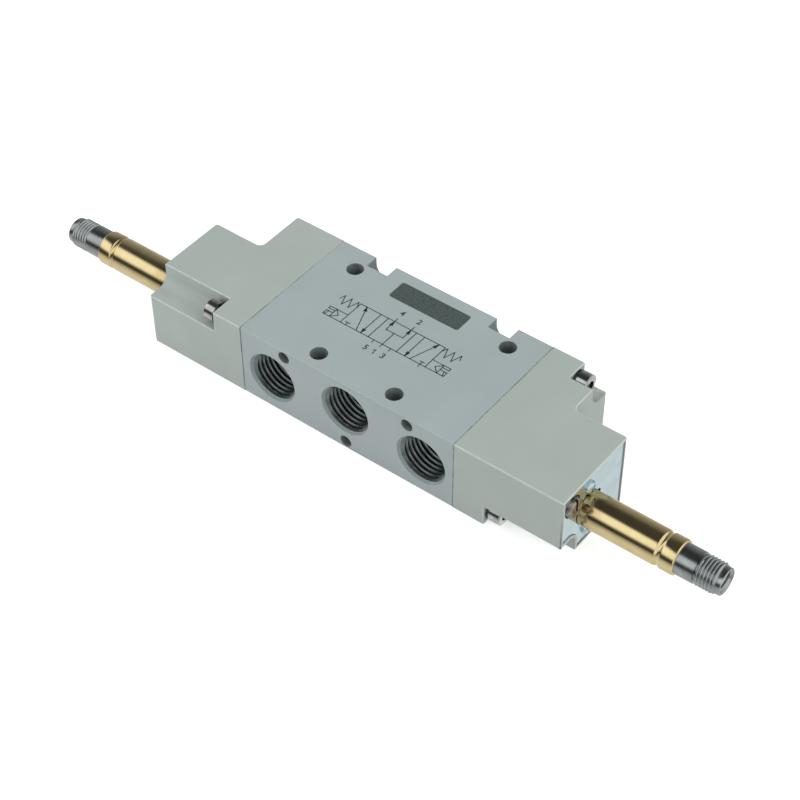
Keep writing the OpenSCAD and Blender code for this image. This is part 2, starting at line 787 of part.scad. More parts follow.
// Pistons and centring springs

module right_piston() {
    a = piston_start;
    b = piston_start + piston_t;
    hole = spool_pin_r + running_fit;
    hole_end = a + spool_pin_l + running_fit;
    recess = b - spring_recess_depth;
    groove = piston_seal_mean - piston_seal_r - running_fit;
    groove_half = piston_seal_r + end_gap;
    color(ALLOY)
        turned([[a, hole], [a, piston_r - edge], [a + edge, piston_r],
            [piston_seal_at - groove_half, piston_r], [piston_seal_at - groove_half, groove],
            [piston_seal_at + groove_half, groove], [piston_seal_at + groove_half, piston_r],
            [b, piston_r], [b, spring_recess_r], [recess, spring_recess_r],
            [recess, piston_boss_r], [b - edge, piston_boss_r], [b - edge, 0],
            [hole_end, 0], [hole_end, hole]], 0, mid_z);
}

module left_piston() other_end() right_piston();

module right_piston_seal()
    color(RUBBER)
        o_ring(piston_seal_at, piston_seal_mean, piston_seal_r, 0, mid_z);

module left_piston_seal() other_end() right_piston_seal();

module right_centring_spring()
    color(STEEL)
        coil_spring(half_l + spring_start + end_gap, half_l + piston_bore_depth - end_gap,
            spring_mean_r, spring_wire_r, spring_turns, 0, mid_z);

module left_centring_spring() other_end() right_centring_spring();

// Pilot plates and their screws

module right_pilot_plate() {
    a = half_l + plate_in;
    b = half_l + plate_out;
    color(ZINC)
        difference() {
            plate_solid(a, b, plate_gap);
            bar(a - cut, b + cut, tube_r + 2 * running_fit, -tube_y, mid_z);
            bar(a - cut, b + cut, notch_r, notch_y - tube_y, mid_z + notch_rise, small_fn);
            bar(a - cut, b + cut, override_hole_r, override_y, override_z, small_fn);
            for (side = [-1, 1])
                bar(a - cut, b + cut, plate_screw_r + screw_clearance / 2, -tube_y,
                    mid_z + side * plate_screw_spacing / 2, small_fn);
        }
}

module left_pilot_plate() other_end() right_pilot_plate();

// A pan-head screw with a cross recess
module plate_screw() {
    seat = half_l + plate_out;
    top = seat + plate_screw_head_h;
    h = plate_screw_head_h;
    r = plate_screw_head_r;
    difference() {
        turned([[seat - plate_screw_l, 0], [seat - plate_screw_l, plate_screw_r],
            [seat, plate_screw_r], [seat, r], [seat + 0.35 * h, r], [seat + 0.7 * h, 0.9 * r],
            [seat + 0.9 * h, 0.7 * r], [top, 0.4 * r], [top, 0]], -tube_y, mid_z, small_fn);
        for (a = [0, 90])
            translate([top, -tube_y, mid_z])
                rotate([a + 45, 0, 0])
                    cube([h, plate_screw_slot_w, 1.1 * r], center = true);
    }
}

module right_plate_screws()
    color(ZINC)
        for (side = [-1, 1])
            translate([0, 0, side * plate_screw_spacing / 2])
                plate_screw();

module left_plate_screws() other_end() right_plate_screws();

// Armature tubes and fixed cores

// Points of a rolled groove of half-round section, from its near edge to its far edge
function rolled(start, r, depth) = [
    for (i = [0 : 8])
        [start + groove_w * i / 8, r - depth * (1 - pow(i / 4 - 1, 2)) * (i > 0 && i < 8 ? 1 : 0)]
];

function reversed(points) = [for (i = [len(points) - 1 : -1 : 0]) points[i]];

module right_armature_tube() {
    e = half_l;
    neck_end = e + plate_out + tube_neck_rise;
    end = e + tube_end;
    roll = tube_roll_r;
    color(BRASS)
        turned(concat(
            [[e + nose_start, tube_in], [e + nose_start, tube_r], [e + foot_start, tube_r],
            [e + foot_start, tube_foot_r], [e + plate_in, tube_foot_r],
            [e + plate_in, tube_neck_r], [neck_end, tube_neck_r], [neck_end, tube_r]],
            rolled(e + groove_start, tube_r, groove_depth),
            [for (a = [0 : 30 : 90]) [end - roll + roll * sin(a), tube_r - roll + roll * cos(a)]],
            [[end, tube_in]],
            reversed(rolled(e + groove_start, tube_in, groove_depth))), -tube_y, mid_z);
}

module left_armature_tube() other_end() right_armature_tube();

module right_tube_seal()
    color(RUBBER)
        o_ring(half_l + foot_start - tube_seal_r - seat_fit, (pocket_r + tube_r) / 2,
            tube_seal_r, -tube_y, mid_z);

module left_tube_seal() other_end() right_tube_seal();

module right_fixed_core() {
    e = half_l;
    relief = e + tube_end + core_plain_l;
    thread = relief + core_relief_w;
    tip = thread + core_thread_l;
    end = tip + core_tip_l;
    face = e + core_start;
    seat = e + core_seat;
    mouth = exhaust_mouth_r - exhaust_r;
    bore = nozzle_hole_r;
    floor_at = end - exhaust_depth;
    color(STEEL)
        turned(concat(
            [[seat, bore], [seat, bore + core_seat_w], [face, bore + 2 * core_seat_w],
            [face, core_in_r - edge], [face + edge, core_in_r]],
            rolled(e + groove_start, core_in_r, groove_depth + seat_fit),
            [[e + tube_end, core_in_r], [e + tube_end, core_r], [relief, core_r],
            [relief, core_relief_r], [thread, core_relief_r], [thread, core_thread_r],
            [tip, core_thread_r], [tip, core_tip_r], [end - edge, core_tip_r],
            [end, core_tip_r - edge], [end, exhaust_mouth_r], [end - mouth, exhaust_r],
            [floor_at, exhaust_r], [floor_at - exhaust_r / 2, bore]]), -tube_y, mid_z);
}

module left_fixed_core() other_end() right_fixed_core();

// Armatures

module right_armature() {
    a = half_l + armature_start;
    b = half_l + armature_end;
    seal_r = armature_seal_r + seat_fit;
    seal_end = half_l + nozzle_tip + armature_seal_t;
    recess = b - armature_recess_depth;
    post_top = b - post_setback;
    pad_hole_r = pad_r + seat_fit;
    pad_floor = half_l + pad_top - pad_t;
    color(STEEL)
        difference() {
            turned([[a, seal_r], [a, armature_r - edge], [a + edge, armature_r],
                [b - edge, armature_r], [b, armature_r - edge], [b, armature_recess_r],
                [recess, armature_recess_r], [recess, armature_post_r],
                [post_top, armature_post_r], [post_top, pad_hole_r], [pad_floor, pad_hole_r],
                [pad_floor, 0], [seal_end, 0], [seal_end, seal_r]], -tube_y, mid_z);
            for (i = [0 : flutes - 1])
                bar(a - cut, b + cut, flute_r,
                    -tube_y + (armature_r + flute_rise) * cos(360 * i / flutes),
                    mid_z + (armature_r + flute_rise) * sin(360 * i / flutes), small_fn);
        }
}

module left_armature() other_end() right_armature();

module right_armature_rubbers()
    color(RUBBER) {
        bar(half_l + nozzle_tip, half_l + nozzle_tip + armature_seal_t, armature_seal_r,
            -tube_y, mid_z, small_fn);
        bar(half_l + pad_top - pad_t, half_l + pad_top, pad_r, -tube_y, mid_z, small_fn);
    }

module left_armature_rubbers() other_end() right_armature_rubbers();

module right_armature_spring()
    color(STEEL)
        coil_spring(half_l + armature_end - armature_recess_depth + end_gap,
            half_l + core_start - end_gap, armature_mean_r, armature_wire_r, armature_turns,
            -tube_y, mid_z);

module left_armature_spring() other_end() right_armature_spring();

module right_pilot_nozzle() {
    a = half_l + nozzle_foot;
    b = half_l + nozzle_tip;
    color(BRASS)
        turned([[a, nozzle_hole_r], [a, nozzle_r - small_edge], [a + small_edge, nozzle_r],
            [b - nozzle_rise, nozzle_r], [b, nozzle_hole_r + nozzle_seat_w],
            [b, nozzle_hole_r]], -tube_y, mid_z, small_fn);
}

module left_pilot_nozzle() other_end() right_pilot_nozzle();

// Manual overrides

module right_manual_override() {
    out = half_l + override_out;
    inner = half_l + override_in;
    collar = half_l + plate_in - running_fit;
    collar_in = half_l + plate_in - override_collar_t;
    seal = half_l + override_seal_at;
    groove_r = override_r - 2 * override_seal_r + running_fit;
    groove_half = override_seal_r + end_gap;
    color(STEEL)
        difference() {
            turned([[inner, 0], [inner, override_r - edge], [inner + edge, override_r],
                [seal - groove_half, override_r], [seal - groove_half, groove_r],
                [seal + groove_half, groove_r], [seal + groove_half, override_r],
                [collar_in, override_r], [collar_in, override_collar_r],
                [collar, override_collar_r], [collar, override_r], [out - edge, override_r],
                [out, override_r - edge], [out, 0]], override_y, override_z, small_fn);
            // Screwdriver slot in the face
            translate([out - override_slot_depth, override_y - override_slot_w / 2,
                override_z - override_r - cut])
                cube([override_slot_depth + cut, override_slot_w, 2 * override_r + 2 * cut]);
            // Half of the inner end is cut away and works as a cam
            translate([inner - cut, override_y, override_z - override_r - cut])
                cube([override_cam_l + cut, override_r + cut, 2 * override_r + 2 * cut]);
        }
}

module left_manual_override() other_end() right_manual_override();

module right_override_seal()
    color(RUBBER)
        o_ring(half_l + override_seal_at, override_r - override_seal_r + running_fit / 2,
            override_seal_r - running_fit / 2, override_y, override_z);

module left_override_seal() other_end() right_override_seal();

valve_body();
spool();
spool_seals();
seal_spacers();
right_seal_retainer();
left_seal_retainer();
right_end_cap();
left_end_cap();
right_cap_screws();
left_cap_screws();
right_cap_gasket();
left_cap_gasket();
right_piston();
left_piston();
right_piston_seal();
left_piston_seal();
right_centring_spring();
left_centring_spring();
right_pilot_plate();
left_pilot_plate();
right_plate_screws();
left_plate_screws();
right_armature_tube();
left_armature_tube();
right_tube_seal();
left_tube_seal();
right_fixed_core();
left_fixed_core();
right_armature();
left_armature();
right_armature_rubbers();
left_armature_rubbers();
right_armature_spring();
left_armature_spring();
right_pilot_nozzle();
left_pilot_nozzle();
right_manual_override();
left_manual_override();
right_override_seal();
left_override_seal();
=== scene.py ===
import json
import math

import bpy
from mathutils import Matrix, Vector


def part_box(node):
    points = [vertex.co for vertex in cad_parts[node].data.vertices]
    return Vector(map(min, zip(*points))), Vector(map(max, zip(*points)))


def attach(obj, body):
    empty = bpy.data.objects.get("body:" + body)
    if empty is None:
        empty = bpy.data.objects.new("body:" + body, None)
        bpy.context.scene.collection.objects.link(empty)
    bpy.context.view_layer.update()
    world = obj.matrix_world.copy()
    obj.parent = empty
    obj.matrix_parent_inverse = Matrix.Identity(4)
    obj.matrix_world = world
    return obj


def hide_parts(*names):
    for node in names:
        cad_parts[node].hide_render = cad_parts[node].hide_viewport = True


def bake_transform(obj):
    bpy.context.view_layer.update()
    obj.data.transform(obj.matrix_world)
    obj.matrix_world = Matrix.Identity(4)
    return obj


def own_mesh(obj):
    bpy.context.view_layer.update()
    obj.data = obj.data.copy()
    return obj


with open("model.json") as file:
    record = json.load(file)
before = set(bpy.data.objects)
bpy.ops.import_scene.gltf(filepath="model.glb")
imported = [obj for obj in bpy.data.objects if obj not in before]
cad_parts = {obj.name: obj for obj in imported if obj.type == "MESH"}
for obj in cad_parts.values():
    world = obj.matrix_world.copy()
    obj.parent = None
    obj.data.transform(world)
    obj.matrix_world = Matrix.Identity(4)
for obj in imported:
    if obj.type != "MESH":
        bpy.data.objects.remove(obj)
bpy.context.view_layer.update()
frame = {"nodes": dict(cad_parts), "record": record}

MM = 0.001
bpy.context.scene.view_settings.view_transform = "Standard"


# Camera
# A long lens looks down on the three-port face and the right-hand end, as in the photograph.
# Its place and angles come from a fit to the corners and ports of the body.
CAMERA_AT = Vector((211.07, -270.18, 346.0)) * MM
CAMERA_AZIMUTH = math.radians(37.872)
CAMERA_ELEVATION = math.radians(45.259)
CAMERA_ROLL = math.radians(-0.444)
SENSOR = 36
FOCAL_LENGTH = 89.16
CLIP_START = 10 * MM

camera_data = bpy.data.cameras.new("camera")
camera_data.sensor_fit = "HORIZONTAL"
camera_data.sensor_width = SENSOR
camera_data.lens = FOCAL_LENGTH
camera_data.clip_start = CLIP_START
camera = bpy.data.objects.new("camera", camera_data)
bpy.context.scene.collection.objects.link(camera)
camera.matrix_world = (
    Matrix.Translation(CAMERA_AT)
    @ Matrix.Rotation(CAMERA_AZIMUTH, 4, "Z")
    @ Matrix.Rotation(math.pi / 2 - CAMERA_ELEVATION, 4, "X")
    @ Matrix.Rotation(CAMERA_ROLL, 4, "Z")
)
bpy.context.scene.camera = camera


# Studio
# A white sweep carries the object. The room is dark overhead and pale below and behind, with
# a large soft window at the front left and one at the right, which give the polished metals
# the bands of the photograph. The lamps only fill the painted and moulded faces.
# The bands pair a direction's height with a level. A window is a level and its edges: a
# direction, and how far along it the light begins and is full.
FLOOR_SIZE = 6.0
FLOOR_GAP = 0.02 * MM
FLOOR_WHITE = "#ececec"
FLOOR_LIFT = 0.55
FRONT_BANDS = ((-1, 0.66), (-0.75, 0.74), (-0.55, 0.70), (-0.4, 0.56), (-0.25, 0.36),
               (-0.1, 0.05), (1, 0.05))
BACK_BANDS = ((-1, 0.70), (-0.75, 0.82), (-0.4, 0.64), (-0.2, 0.45), (0.08, 0.34),
              (0.35, 0.26), (0.56, 0.20), (0.71, 0.12), (0.85, 0.06), (1, 0.05))
FRONT_WINDOW = (1.08, ((0.466, 0.732, 0.497), 0.13, -0.17),
                ((0.098, 0.285, 0.953), -0.21, 0.19), ((1, 0, 0), 0.45, 0.05))
RIGHT_WINDOW = (0.9, ((1, 0, 0), 0.1, 0.4), ((0, 0, 1), -0.35, -0.05))
BACK_FROM_Y, BACK_FULL_Y = 0.0, 0.5


def linear(code):
    """The linear colour of an sRGB hex code."""
    parts = [int(code[i:i + 2], 16) / 255 for i in (1, 3, 5)]
    return [p / 12.92 if p <= 0.04045 else ((p + 0.055) / 1.055) ** 2.4 for p in parts] + [1]


def add(tree, kind, inputs=(), **settings):
    """Adds a node to a tree. Each input is a value or another node's output."""
    made = tree.nodes.new("ShaderNode" + kind)
    for key, value in settings.items():
        setattr(made, key, value)
    for key, value in dict(inputs).items():
        if isinstance(value, bpy.types.NodeSocket):
            tree.links.new(value, made.inputs[key])
        else:
            made.inputs[key].default_value = value
    return made


world = bpy.data.worlds.new("studio")
bpy.context.scene.world = world
world.use_nodes = True
tree = world.node_tree
tree.nodes.clear()
towards = add(tree, "TexCoord").outputs["Generated"]
axes = add(tree, "SeparateXYZ", {0: towards})
height = add(tree, "MapRange", {"Value": axes.outputs["Z"], "From Min": -1, "From Max": 1})
rooms = []
for bands in (FRONT_BANDS, BACK_BANDS):
    ramp = add(tree, "ValToRGB", {0: height.outputs[0]})
    while len(ramp.color_ramp.elements) < len(bands):
        ramp.color_ramp.elements.new(1)
    for stop, (at, level) in zip(ramp.color_ramp.elements, bands):
        stop.position = (at + 1) / 2
        stop.color = (level, level, level, 1)
    rooms.append(ramp.outputs["Color"])
behind = add(tree, "MapRange", {"Value": axes.outputs["Y"], "From Min": BACK_FROM_Y,
                                "From Max": BACK_FULL_Y})
room = add(tree, "Mix", {0: behind.outputs[0], 6: rooms[0], 7: rooms[1]}, data_type="RGBA")
lit = room
for level, *edges in (FRONT_WINDOW, RIGHT_WINDOW):
    window = level
    for normal, outside, inside in edges:
        edge = add(tree, "VectorMath", {0: towards, 1: normal}, operation="DOT_PRODUCT")
        soft = add(tree, "MapRange", {"Value": edge.outputs["Value"], "From Min": outside,
                                      "From Max": inside}, interpolation_type="SMOOTHSTEP")
        window = add(tree, "Math", {0: soft.outputs[0], 1: window},
                     operation="MULTIPLY").outputs[0]
    lit = add(tree, "Mix", {0: 1.0, 6: lit.outputs[2], 7: window}, data_type="RGBA",
              blend_type="LIGHTEN")
around = add(tree, "Background", {"Color": lit.outputs[2]})
backdrop = add(tree, "Background", {"Color": (1, 1, 1, 1)})
path = add(tree, "LightPath")
choice = add(tree, "MixShader", {0: path.outputs["Is Camera Ray"], 1: around.outputs[0],
                                 2: backdrop.outputs[0]})
add(tree, "OutputWorld", {"Surface": choice.outputs[0]})

bpy.ops.object.select_all(action="DESELECT")
bpy.ops.mesh.primitive_plane_add(size=FLOOR_SIZE, location=(0, 0, -FLOOR_GAP))
floor = bpy.context.object
floor.name = "floor"
floor.visible_glossy = False
sweep = bpy.data.materials.new("white sweep")
sweep.use_nodes = True
tree = sweep.node_tree
tree.nodes.clear()
path = add(tree, "LightPath")
lift = add(tree, "Math", {0: path.outputs["Is Camera Ray"], 1: FLOOR_LIFT},
           operation="MULTIPLY")
glow = add(tree, "Emission", {"Color": (1, 1, 1, 1), "Strength": lift.outputs[0]})
matt = add(tree, "BsdfDiffuse", {"Color": linear(FLOOR_WHITE)})
both = add(tree, "AddShader", {0: matt.outputs[0], 1: glow.outputs[0]})
add(tree, "OutputMaterial", {"Surface": both.outputs[0]})
floor.data.materials.append(sweep)

# A lamp's place and size in metres, and its power in watts
LAMPS = {
    "top_fill": ((0.1, 0.35, 1.1), 1.2, 6.0),
    "right_fill": ((1.0, -0.1, 0.5), 0.9, 2.5),
    "front_fill": ((-0.26, -0.26, 0.16), 0.3, 0.4),
}
for name, (place, size, power) in LAMPS.items():
    lamp_data = bpy.data.lights.new(name, "AREA")
    lamp_data.shape = "SQUARE"
    lamp_data.size = size
    lamp_data.energy = power
    lamp = bpy.data.objects.new(name, lamp_data)
    bpy.context.scene.collection.objects.link(lamp)
    lamp.location = place
    lamp.rotation_euler = (-Vector(place)).to_track_quat("-Z", "Y").to_euler()
    lamp.visible_glossy = False


# Valve body
# A bar of aluminium, milled and drilled, with a satin blue-grey coat. Its fine edges and the
# thin joint where the caps meet the ends are darker: partly worn coat, partly painted shade.
BODY_EDGE, BODY_EDGE_STEPS = 0.16 * MM, 2
COAT = "#a2adad"
COAT_DARK = "#9ea9aa"
THIN_COAT_AND_SHADE = "#66716f"
TAPPED_SHADED = "#838c8b"
TAPPED_SHADED_DARK = "#6d7675"
DRILLED_SHADED = "#7f8a88"
DRILLED_SHADED_DARK = "#6d7876"
BORE_SHADE_DEPTH = 1.2 * MM
TINY = 0.02 * MM
MERGE_GAP = 0.001 * MM
FLAT_ANGLE = math.radians(0.5)
SMOOTH_ANGLE = math.radians(32)
NOISE_DETAIL = 4.0
CLOUD_SPREAD = (0.35, 0.65)
GRAIN_SPREAD = (0.3, 0.7)
body_low, body_high = (Vector(v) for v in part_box("valve_body"))
TOP = body_high.z


def finish(name, dark, light, metallic, rough, cloud_mm, grain_mm, bump_mm, drawn=(1, 1, 1)):
    """A material in two tones that meet in soft clouds. A finer grain, which may be drawn out
    along an axis, varies its roughness between two values and raises its surface."""
    material = bpy.data.materials.new(name)
    material.use_nodes = True
    tree = material.node_tree
    tree.nodes.clear()
    place = add(tree, "TexCoord").outputs["Object"]
    clouds = add(tree, "TexNoise", {"Vector": place, "Scale": 1 / (cloud_mm * MM),
                                    "Detail": NOISE_DETAIL})
    mask = add(tree, "MapRange", {"Value": clouds.outputs[0], "From Min": CLOUD_SPREAD[0],
                                  "From Max": CLOUD_SPREAD[1]})
    tone = add(tree, "Mix", {0: mask.outputs[0], 6: linear(dark), 7: linear(light)},
               data_type="RGBA")
    along = add(tree, "Mapping", {"Vector": place, "Scale": drawn})
    grain = add(tree, "TexNoise", {"Vector": along.outputs[0], "Scale": 1 / (grain_mm * MM),
                                   "Detail": NOISE_DETAIL})
    gloss = add(tree, "MapRange", {"Value": grain.outputs[0], "From Min": GRAIN_SPREAD[0],
                                   "From Max": GRAIN_SPREAD[1], "To Min": rough[0],
                                   "To Max": rough[1]})
    bump = add(tree, "Bump", {"Height": grain.outputs[0], "Distance": bump_mm * MM,
                              "Strength": 1.0})
    shader = add(tree, "BsdfPrincipled", {
        "Base Color": tone.outputs[2], "Metallic": metallic, "Roughness": gloss.outputs[0],
        "Normal": bump.outputs[0]})
    add(tree, "OutputMaterial", {"Surface": shader.outputs[0]})
    return material


def eased_copy(node, name, width, segments, outer):
    """A copy of a CAD node whose outer edges are eased, as on the real piece. It stays within
    the node's box, and the eased faces stay selected."""
    copy = frame["nodes"][node].copy()
    copy.data = copy.data.copy()
    copy.name = name
    copy.parent = None
    for key in list(copy.keys()):
        del copy[key]
    bpy.context.scene.collection.objects.link(copy)
    bpy.ops.object.select_all(action="DESELECT")
    copy.select_set(True)
    bpy.context.view_layer.objects.active = copy
    bpy.ops.object.mode_set(mode="EDIT")
    bpy.ops.mesh.select_all(action="SELECT")
    bpy.ops.mesh.remove_doubles(threshold=MERGE_GAP)
    bpy.ops.mesh.dissolve_limited(angle_limit=FLAT_ANGLE)
    bpy.ops.mesh.select_all(action="DESELECT")
    bpy.ops.mesh.select_mode(type="EDGE")
    bpy.ops.mesh.edges_select_sharp(sharpness=SMOOTH_ANGLE)
    bpy.ops.object.mode_set(mode="OBJECT")
    mesh = copy.data
    chosen = [edge.index for edge in mesh.edges
              if edge.select and outer(*(mesh.vertices[i].co for i in edge.vertices))]
    bpy.ops.object.mode_set(mode="EDIT")
    bpy.ops.mesh.select_all(action="DESELECT")
    bpy.ops.object.mode_set(mode="OBJECT")
    for index in chosen:
        mesh.edges[index].select = True
    bpy.ops.object.mode_set(mode="EDIT")
    bpy.ops.mesh.bevel(offset=width, segments=segments, affect="EDGES", clamp_overlap=False)
    bpy.ops.object.mode_set(mode="OBJECT")
    low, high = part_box(node)
    for vertex in mesh.vertices:
        vertex.co = [min(max(part, a), b) for part, a, b in zip(vertex.co, low, high)]
    bpy.ops.object.shade_smooth_by_angle(angle=SMOOTH_ANGLE)
    even = copy.modifiers.new("even", "WEIGHTED_NORMAL")
    even.keep_sharp = True
    bpy.ops.object.modifier_apply(modifier=even.name)
    return copy


def on_body_skin(a, b):
    """Both ends lie on one side or the top of the body, and not along the bottom."""
    return max(a.z, b.z) > TINY and any(
        abs(a[axis] - limit) < TINY and abs(b[axis] - limit) < TINY
        for axis, limit in ((1, body_low.y), (1, body_high.y), (2, TOP)))


# Satin coat on aluminium: even and matt, with a very fine grain and faint cloudy patches
coat = finish(
    "satin coat on aluminium", COAT_DARK, COAT, metallic=0.0,
    rough=(0.46, 0.58), cloud_mm=14.0, grain_mm=0.12, bump_mm=0.002)
# The same coat on the long edges and in the joint with the caps, darker: partly worn thin, partly
# painted shade
thin_coat_and_shade = finish(
    "coat thin on an edge, with painted shade", THIN_COAT_AND_SHADE, COAT_DARK, metallic=0.0,
    rough=(0.46, 0.58), cloud_mm=0.5, grain_mm=0.12, bump_mm=0.002)
# Drilled aluminium in the bores, where little of the coat gets in: dull, and painted dark as the
# shade inside the holes
drilled = finish(
    "drilled aluminium, with painted shade", DRILLED_SHADED_DARK, DRILLED_SHADED, metallic=0.0,
    rough=(0.4, 0.55), cloud_mm=1.5, grain_mm=0.12, bump_mm=0.002)
# Tapped aluminium: bare metal with fine marks of the tap, painted dark as the shade inside the
# hole
tapped = finish(
    "tapped aluminium, with painted shade", TAPPED_SHADED_DARK, TAPPED_SHADED, metallic=1.0,
    rough=(0.24, 0.34), cloud_mm=2.0, grain_mm=0.12, bump_mm=0.001)

body = eased_copy("valve_body", "body_shell", BODY_EDGE, BODY_EDGE_STEPS, on_body_skin)
body.data.materials.clear()
for material in (coat, thin_coat_and_shade, drilled):
    body.data.materials.append(material)
for face in body.data.polygons:
    end_depth, side_depth, top_depth = (
        min(abs(face.center[axis] - body_low[axis]), abs(face.center[axis] - body_high[axis]))
        for axis in range(3))
    # Eased faces along two planes take the darker edge colour: worn coat and painted shade
    if face.select and sorted((end_depth, side_depth, top_depth))[1] < BODY_EDGE:
        face.material_index = 1
    elif min(end_depth, top_depth) < BODY_EDGE or side_depth < BORE_SHADE_DEPTH:
        face.material_index = 0
    # Faces deeper in the bores take the drilled colour, darkened as painted shade
    else:
        face.material_index = 2
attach(body, "housing")
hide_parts("valve_body")


# Port threads
# Parallel pipe threads tapped in the five ports. The solid stops at the major diameter, so
# the ridges stand here. They begin at the floor of each counterbore and rise over a lead.
PORT_PITCH = 1.337 * MM
PORT_THREAD_DEPTH = 0.856 * MM
PORT_THREAD_L = 9.2 * MM
PORT_CREST_W = 0.2 * MM
PORT_LEAD = 0.5 * MM
THREAD_SINK = 0.03 * MM
ROOT_SHARE = 0.96
TURN_STEPS = 64
THREAD_SMOOTH = math.radians(40)
mounts = {m["name"]: m for m in frame["record"]["mounts"]}


def apply_place():
    """Bakes the active object's place, turn and size into its mesh."""
    bpy.ops.object.transform_apply(location=True, rotation=True, scale=True)


def settled(angle):
    """Turns the normals outwards, leaves edit mode and smooths faces that meet below an angle."""
    bpy.ops.mesh.normals_make_consistent(inside=False)
    bpy.ops.object.mode_set(mode="OBJECT")
    bpy.ops.object.shade_smooth_by_angle(angle=angle)


def select_vertices(piece, wanted):
    """Selects only the vertices that pass a test, and leaves the piece in edit mode."""
    bpy.ops.object.mode_set(mode="EDIT")
    bpy.ops.mesh.select_mode(type="VERT")
    bpy.ops.mesh.select_all(action="DESELECT")
    bpy.ops.object.mode_set(mode="OBJECT")
    for vertex in piece.data.vertices:
        vertex.select = wanted(vertex.co)
    bpy.ops.object.mode_set(mode="EDIT")


def wound(piece, pitch, turns, steps=TURN_STEPS):
    """Sweeps a piece's outline about Z, as a right-handed helix where the pitch isn't 0, and
    closes open ends. The piece is left in edit mode with all of it selected."""
    wind = piece.modifiers.new("wind", "SCREW")
    wind.axis = "Z"
    wind.angle = 2 * math.pi
    wind.screw_offset = pitch
    wind.iterations = turns
    wind.steps = wind.render_steps = steps
    bpy.ops.object.modifier_apply(modifier=wind.name)
    bpy.ops.object.mode_set(mode="EDIT")
    bpy.ops.mesh.select_all(action="SELECT")
    bpy.ops.mesh.remove_doubles(threshold=MERGE_GAP)
    bpy.ops.mesh.select_all(action="DESELECT")
    bpy.ops.mesh.select_non_manifold()
    bpy.ops.mesh.fill_holes(sides=0)
    bpy.ops.mesh.select_all(action="SELECT")


def thread_ridge(root_r, crest_r, pitch, crest_w, length, lead):
    """A ridge of thread about Z from 0 to length. It is cut flush at both ends, and rises from
    the wall over the lead."""
    middle = ((root_r + crest_r) / 2, 0, -pitch)
    bpy.ops.object.select_all(action="DESELECT")
    bpy.ops.mesh.primitive_plane_add(size=1, location=middle, rotation=(math.pi / 2, 0, 0))
    ridge = bpy.context.object
    apply_place()
    bpy.ops.object.mode_set(mode="EDIT")
    bpy.ops.mesh.select_all(action="SELECT")
    root_w = pitch * ROOT_SHARE
    bpy.ops.transform.resize(value=(abs(root_r - crest_r), 1, root_w), center_override=middle)
    select_vertices(ridge, lambda co: abs(co.x - crest_r) < abs(co.x - root_r))
    bpy.ops.transform.resize(value=(1, 1, crest_w / root_w), center_override=middle)
    bpy.ops.mesh.bevel(offset=crest_w / 3, segments=2, affect="VERTICES")
    bpy.ops.mesh.select_all(action="SELECT")
    bpy.ops.mesh.delete(type="ONLY_FACE")
    bpy.ops.object.mode_set(mode="OBJECT")
    wound(ridge, pitch, math.ceil(length / pitch) + 2)
    for level, towards in ((0, -1), (length, 1)):
        bpy.ops.mesh.select_all(action="SELECT")
        bpy.ops.mesh.bisect(plane_co=(0, 0, level), plane_no=(0, 0, towards),
                            clear_outer=True)
        bpy.ops.mesh.select_all(action="DESELECT")
        bpy.ops.mesh.select_non_manifold()
        bpy.ops.mesh.edge_face_add()
    bpy.ops.object.mode_set(mode="OBJECT")
    for vertex in ridge.data.vertices:
        r = math.hypot(vertex.co.x, vertex.co.y)
        rise = min(vertex.co.z, length - vertex.co.z) / lead
        limit = THREAD_SINK / 2 + abs(crest_r - root_r) * rise
        if abs(r - root_r) > limit:
            new_r = root_r + math.copysign(limit, crest_r - root_r)
            vertex.co.x, vertex.co.y = vertex.co.x * new_r / r, vertex.co.y * new_r / r
    bpy.ops.object.mode_set(mode="EDIT")
    bpy.ops.mesh.select_all(action="SELECT")
    settled(THREAD_SMOOTH)
    return ridge


def set_along(pattern, name, place, direction, material):
    """A copy of a piece made about Z, set at a place with its Z along a direction."""
    piece = pattern.copy()
    piece.data = pattern.data.copy()
    piece.name = name
    bpy.context.scene.collection.objects.link(piece)
    turn = Vector((0, 0, 1)).rotation_difference(Vector(direction)).to_matrix().to_4x4()
    piece.data.transform(Matrix.Translation(Vector(place)) @ turn)
    piece.data.materials.clear()
    piece.data.materials.append(material)
    return piece


port_r = mounts["port_1_supply"]["dims"]["r_mm"] * MM
pattern = thread_ridge(port_r + THREAD_SINK, port_r - PORT_THREAD_DEPTH, PORT_PITCH,
                       PORT_CREST_W, PORT_THREAD_L, PORT_LEAD)
# The ridges take the tapped colour, darkened as painted shade inside the ports
for name in ("port_1_supply", "port_5_exhaust", "port_3_exhaust", "port_4_outlet",
             "port_2_outlet"):
    inward = -Vector(mounts[name]["axis"])
    thread = set_along(pattern, "thread_of_" + name, mounts[name]["pos_m"], inward, tapped)
    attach(thread, "housing")
bpy.data.objects.remove(pattern)


# Printed symbol
# Dark grey screen print on the top face: the five-port, three-position symbol with supply
# to both outlets in the middle, the port numbers, and a bare panel behind it.
INK = "#323d3b"
INK_WORN = "#3a4543"
PANEL_INK = "#56625f"
INK_T = 0.012 * MM
LINE_W = 0.26 * MM
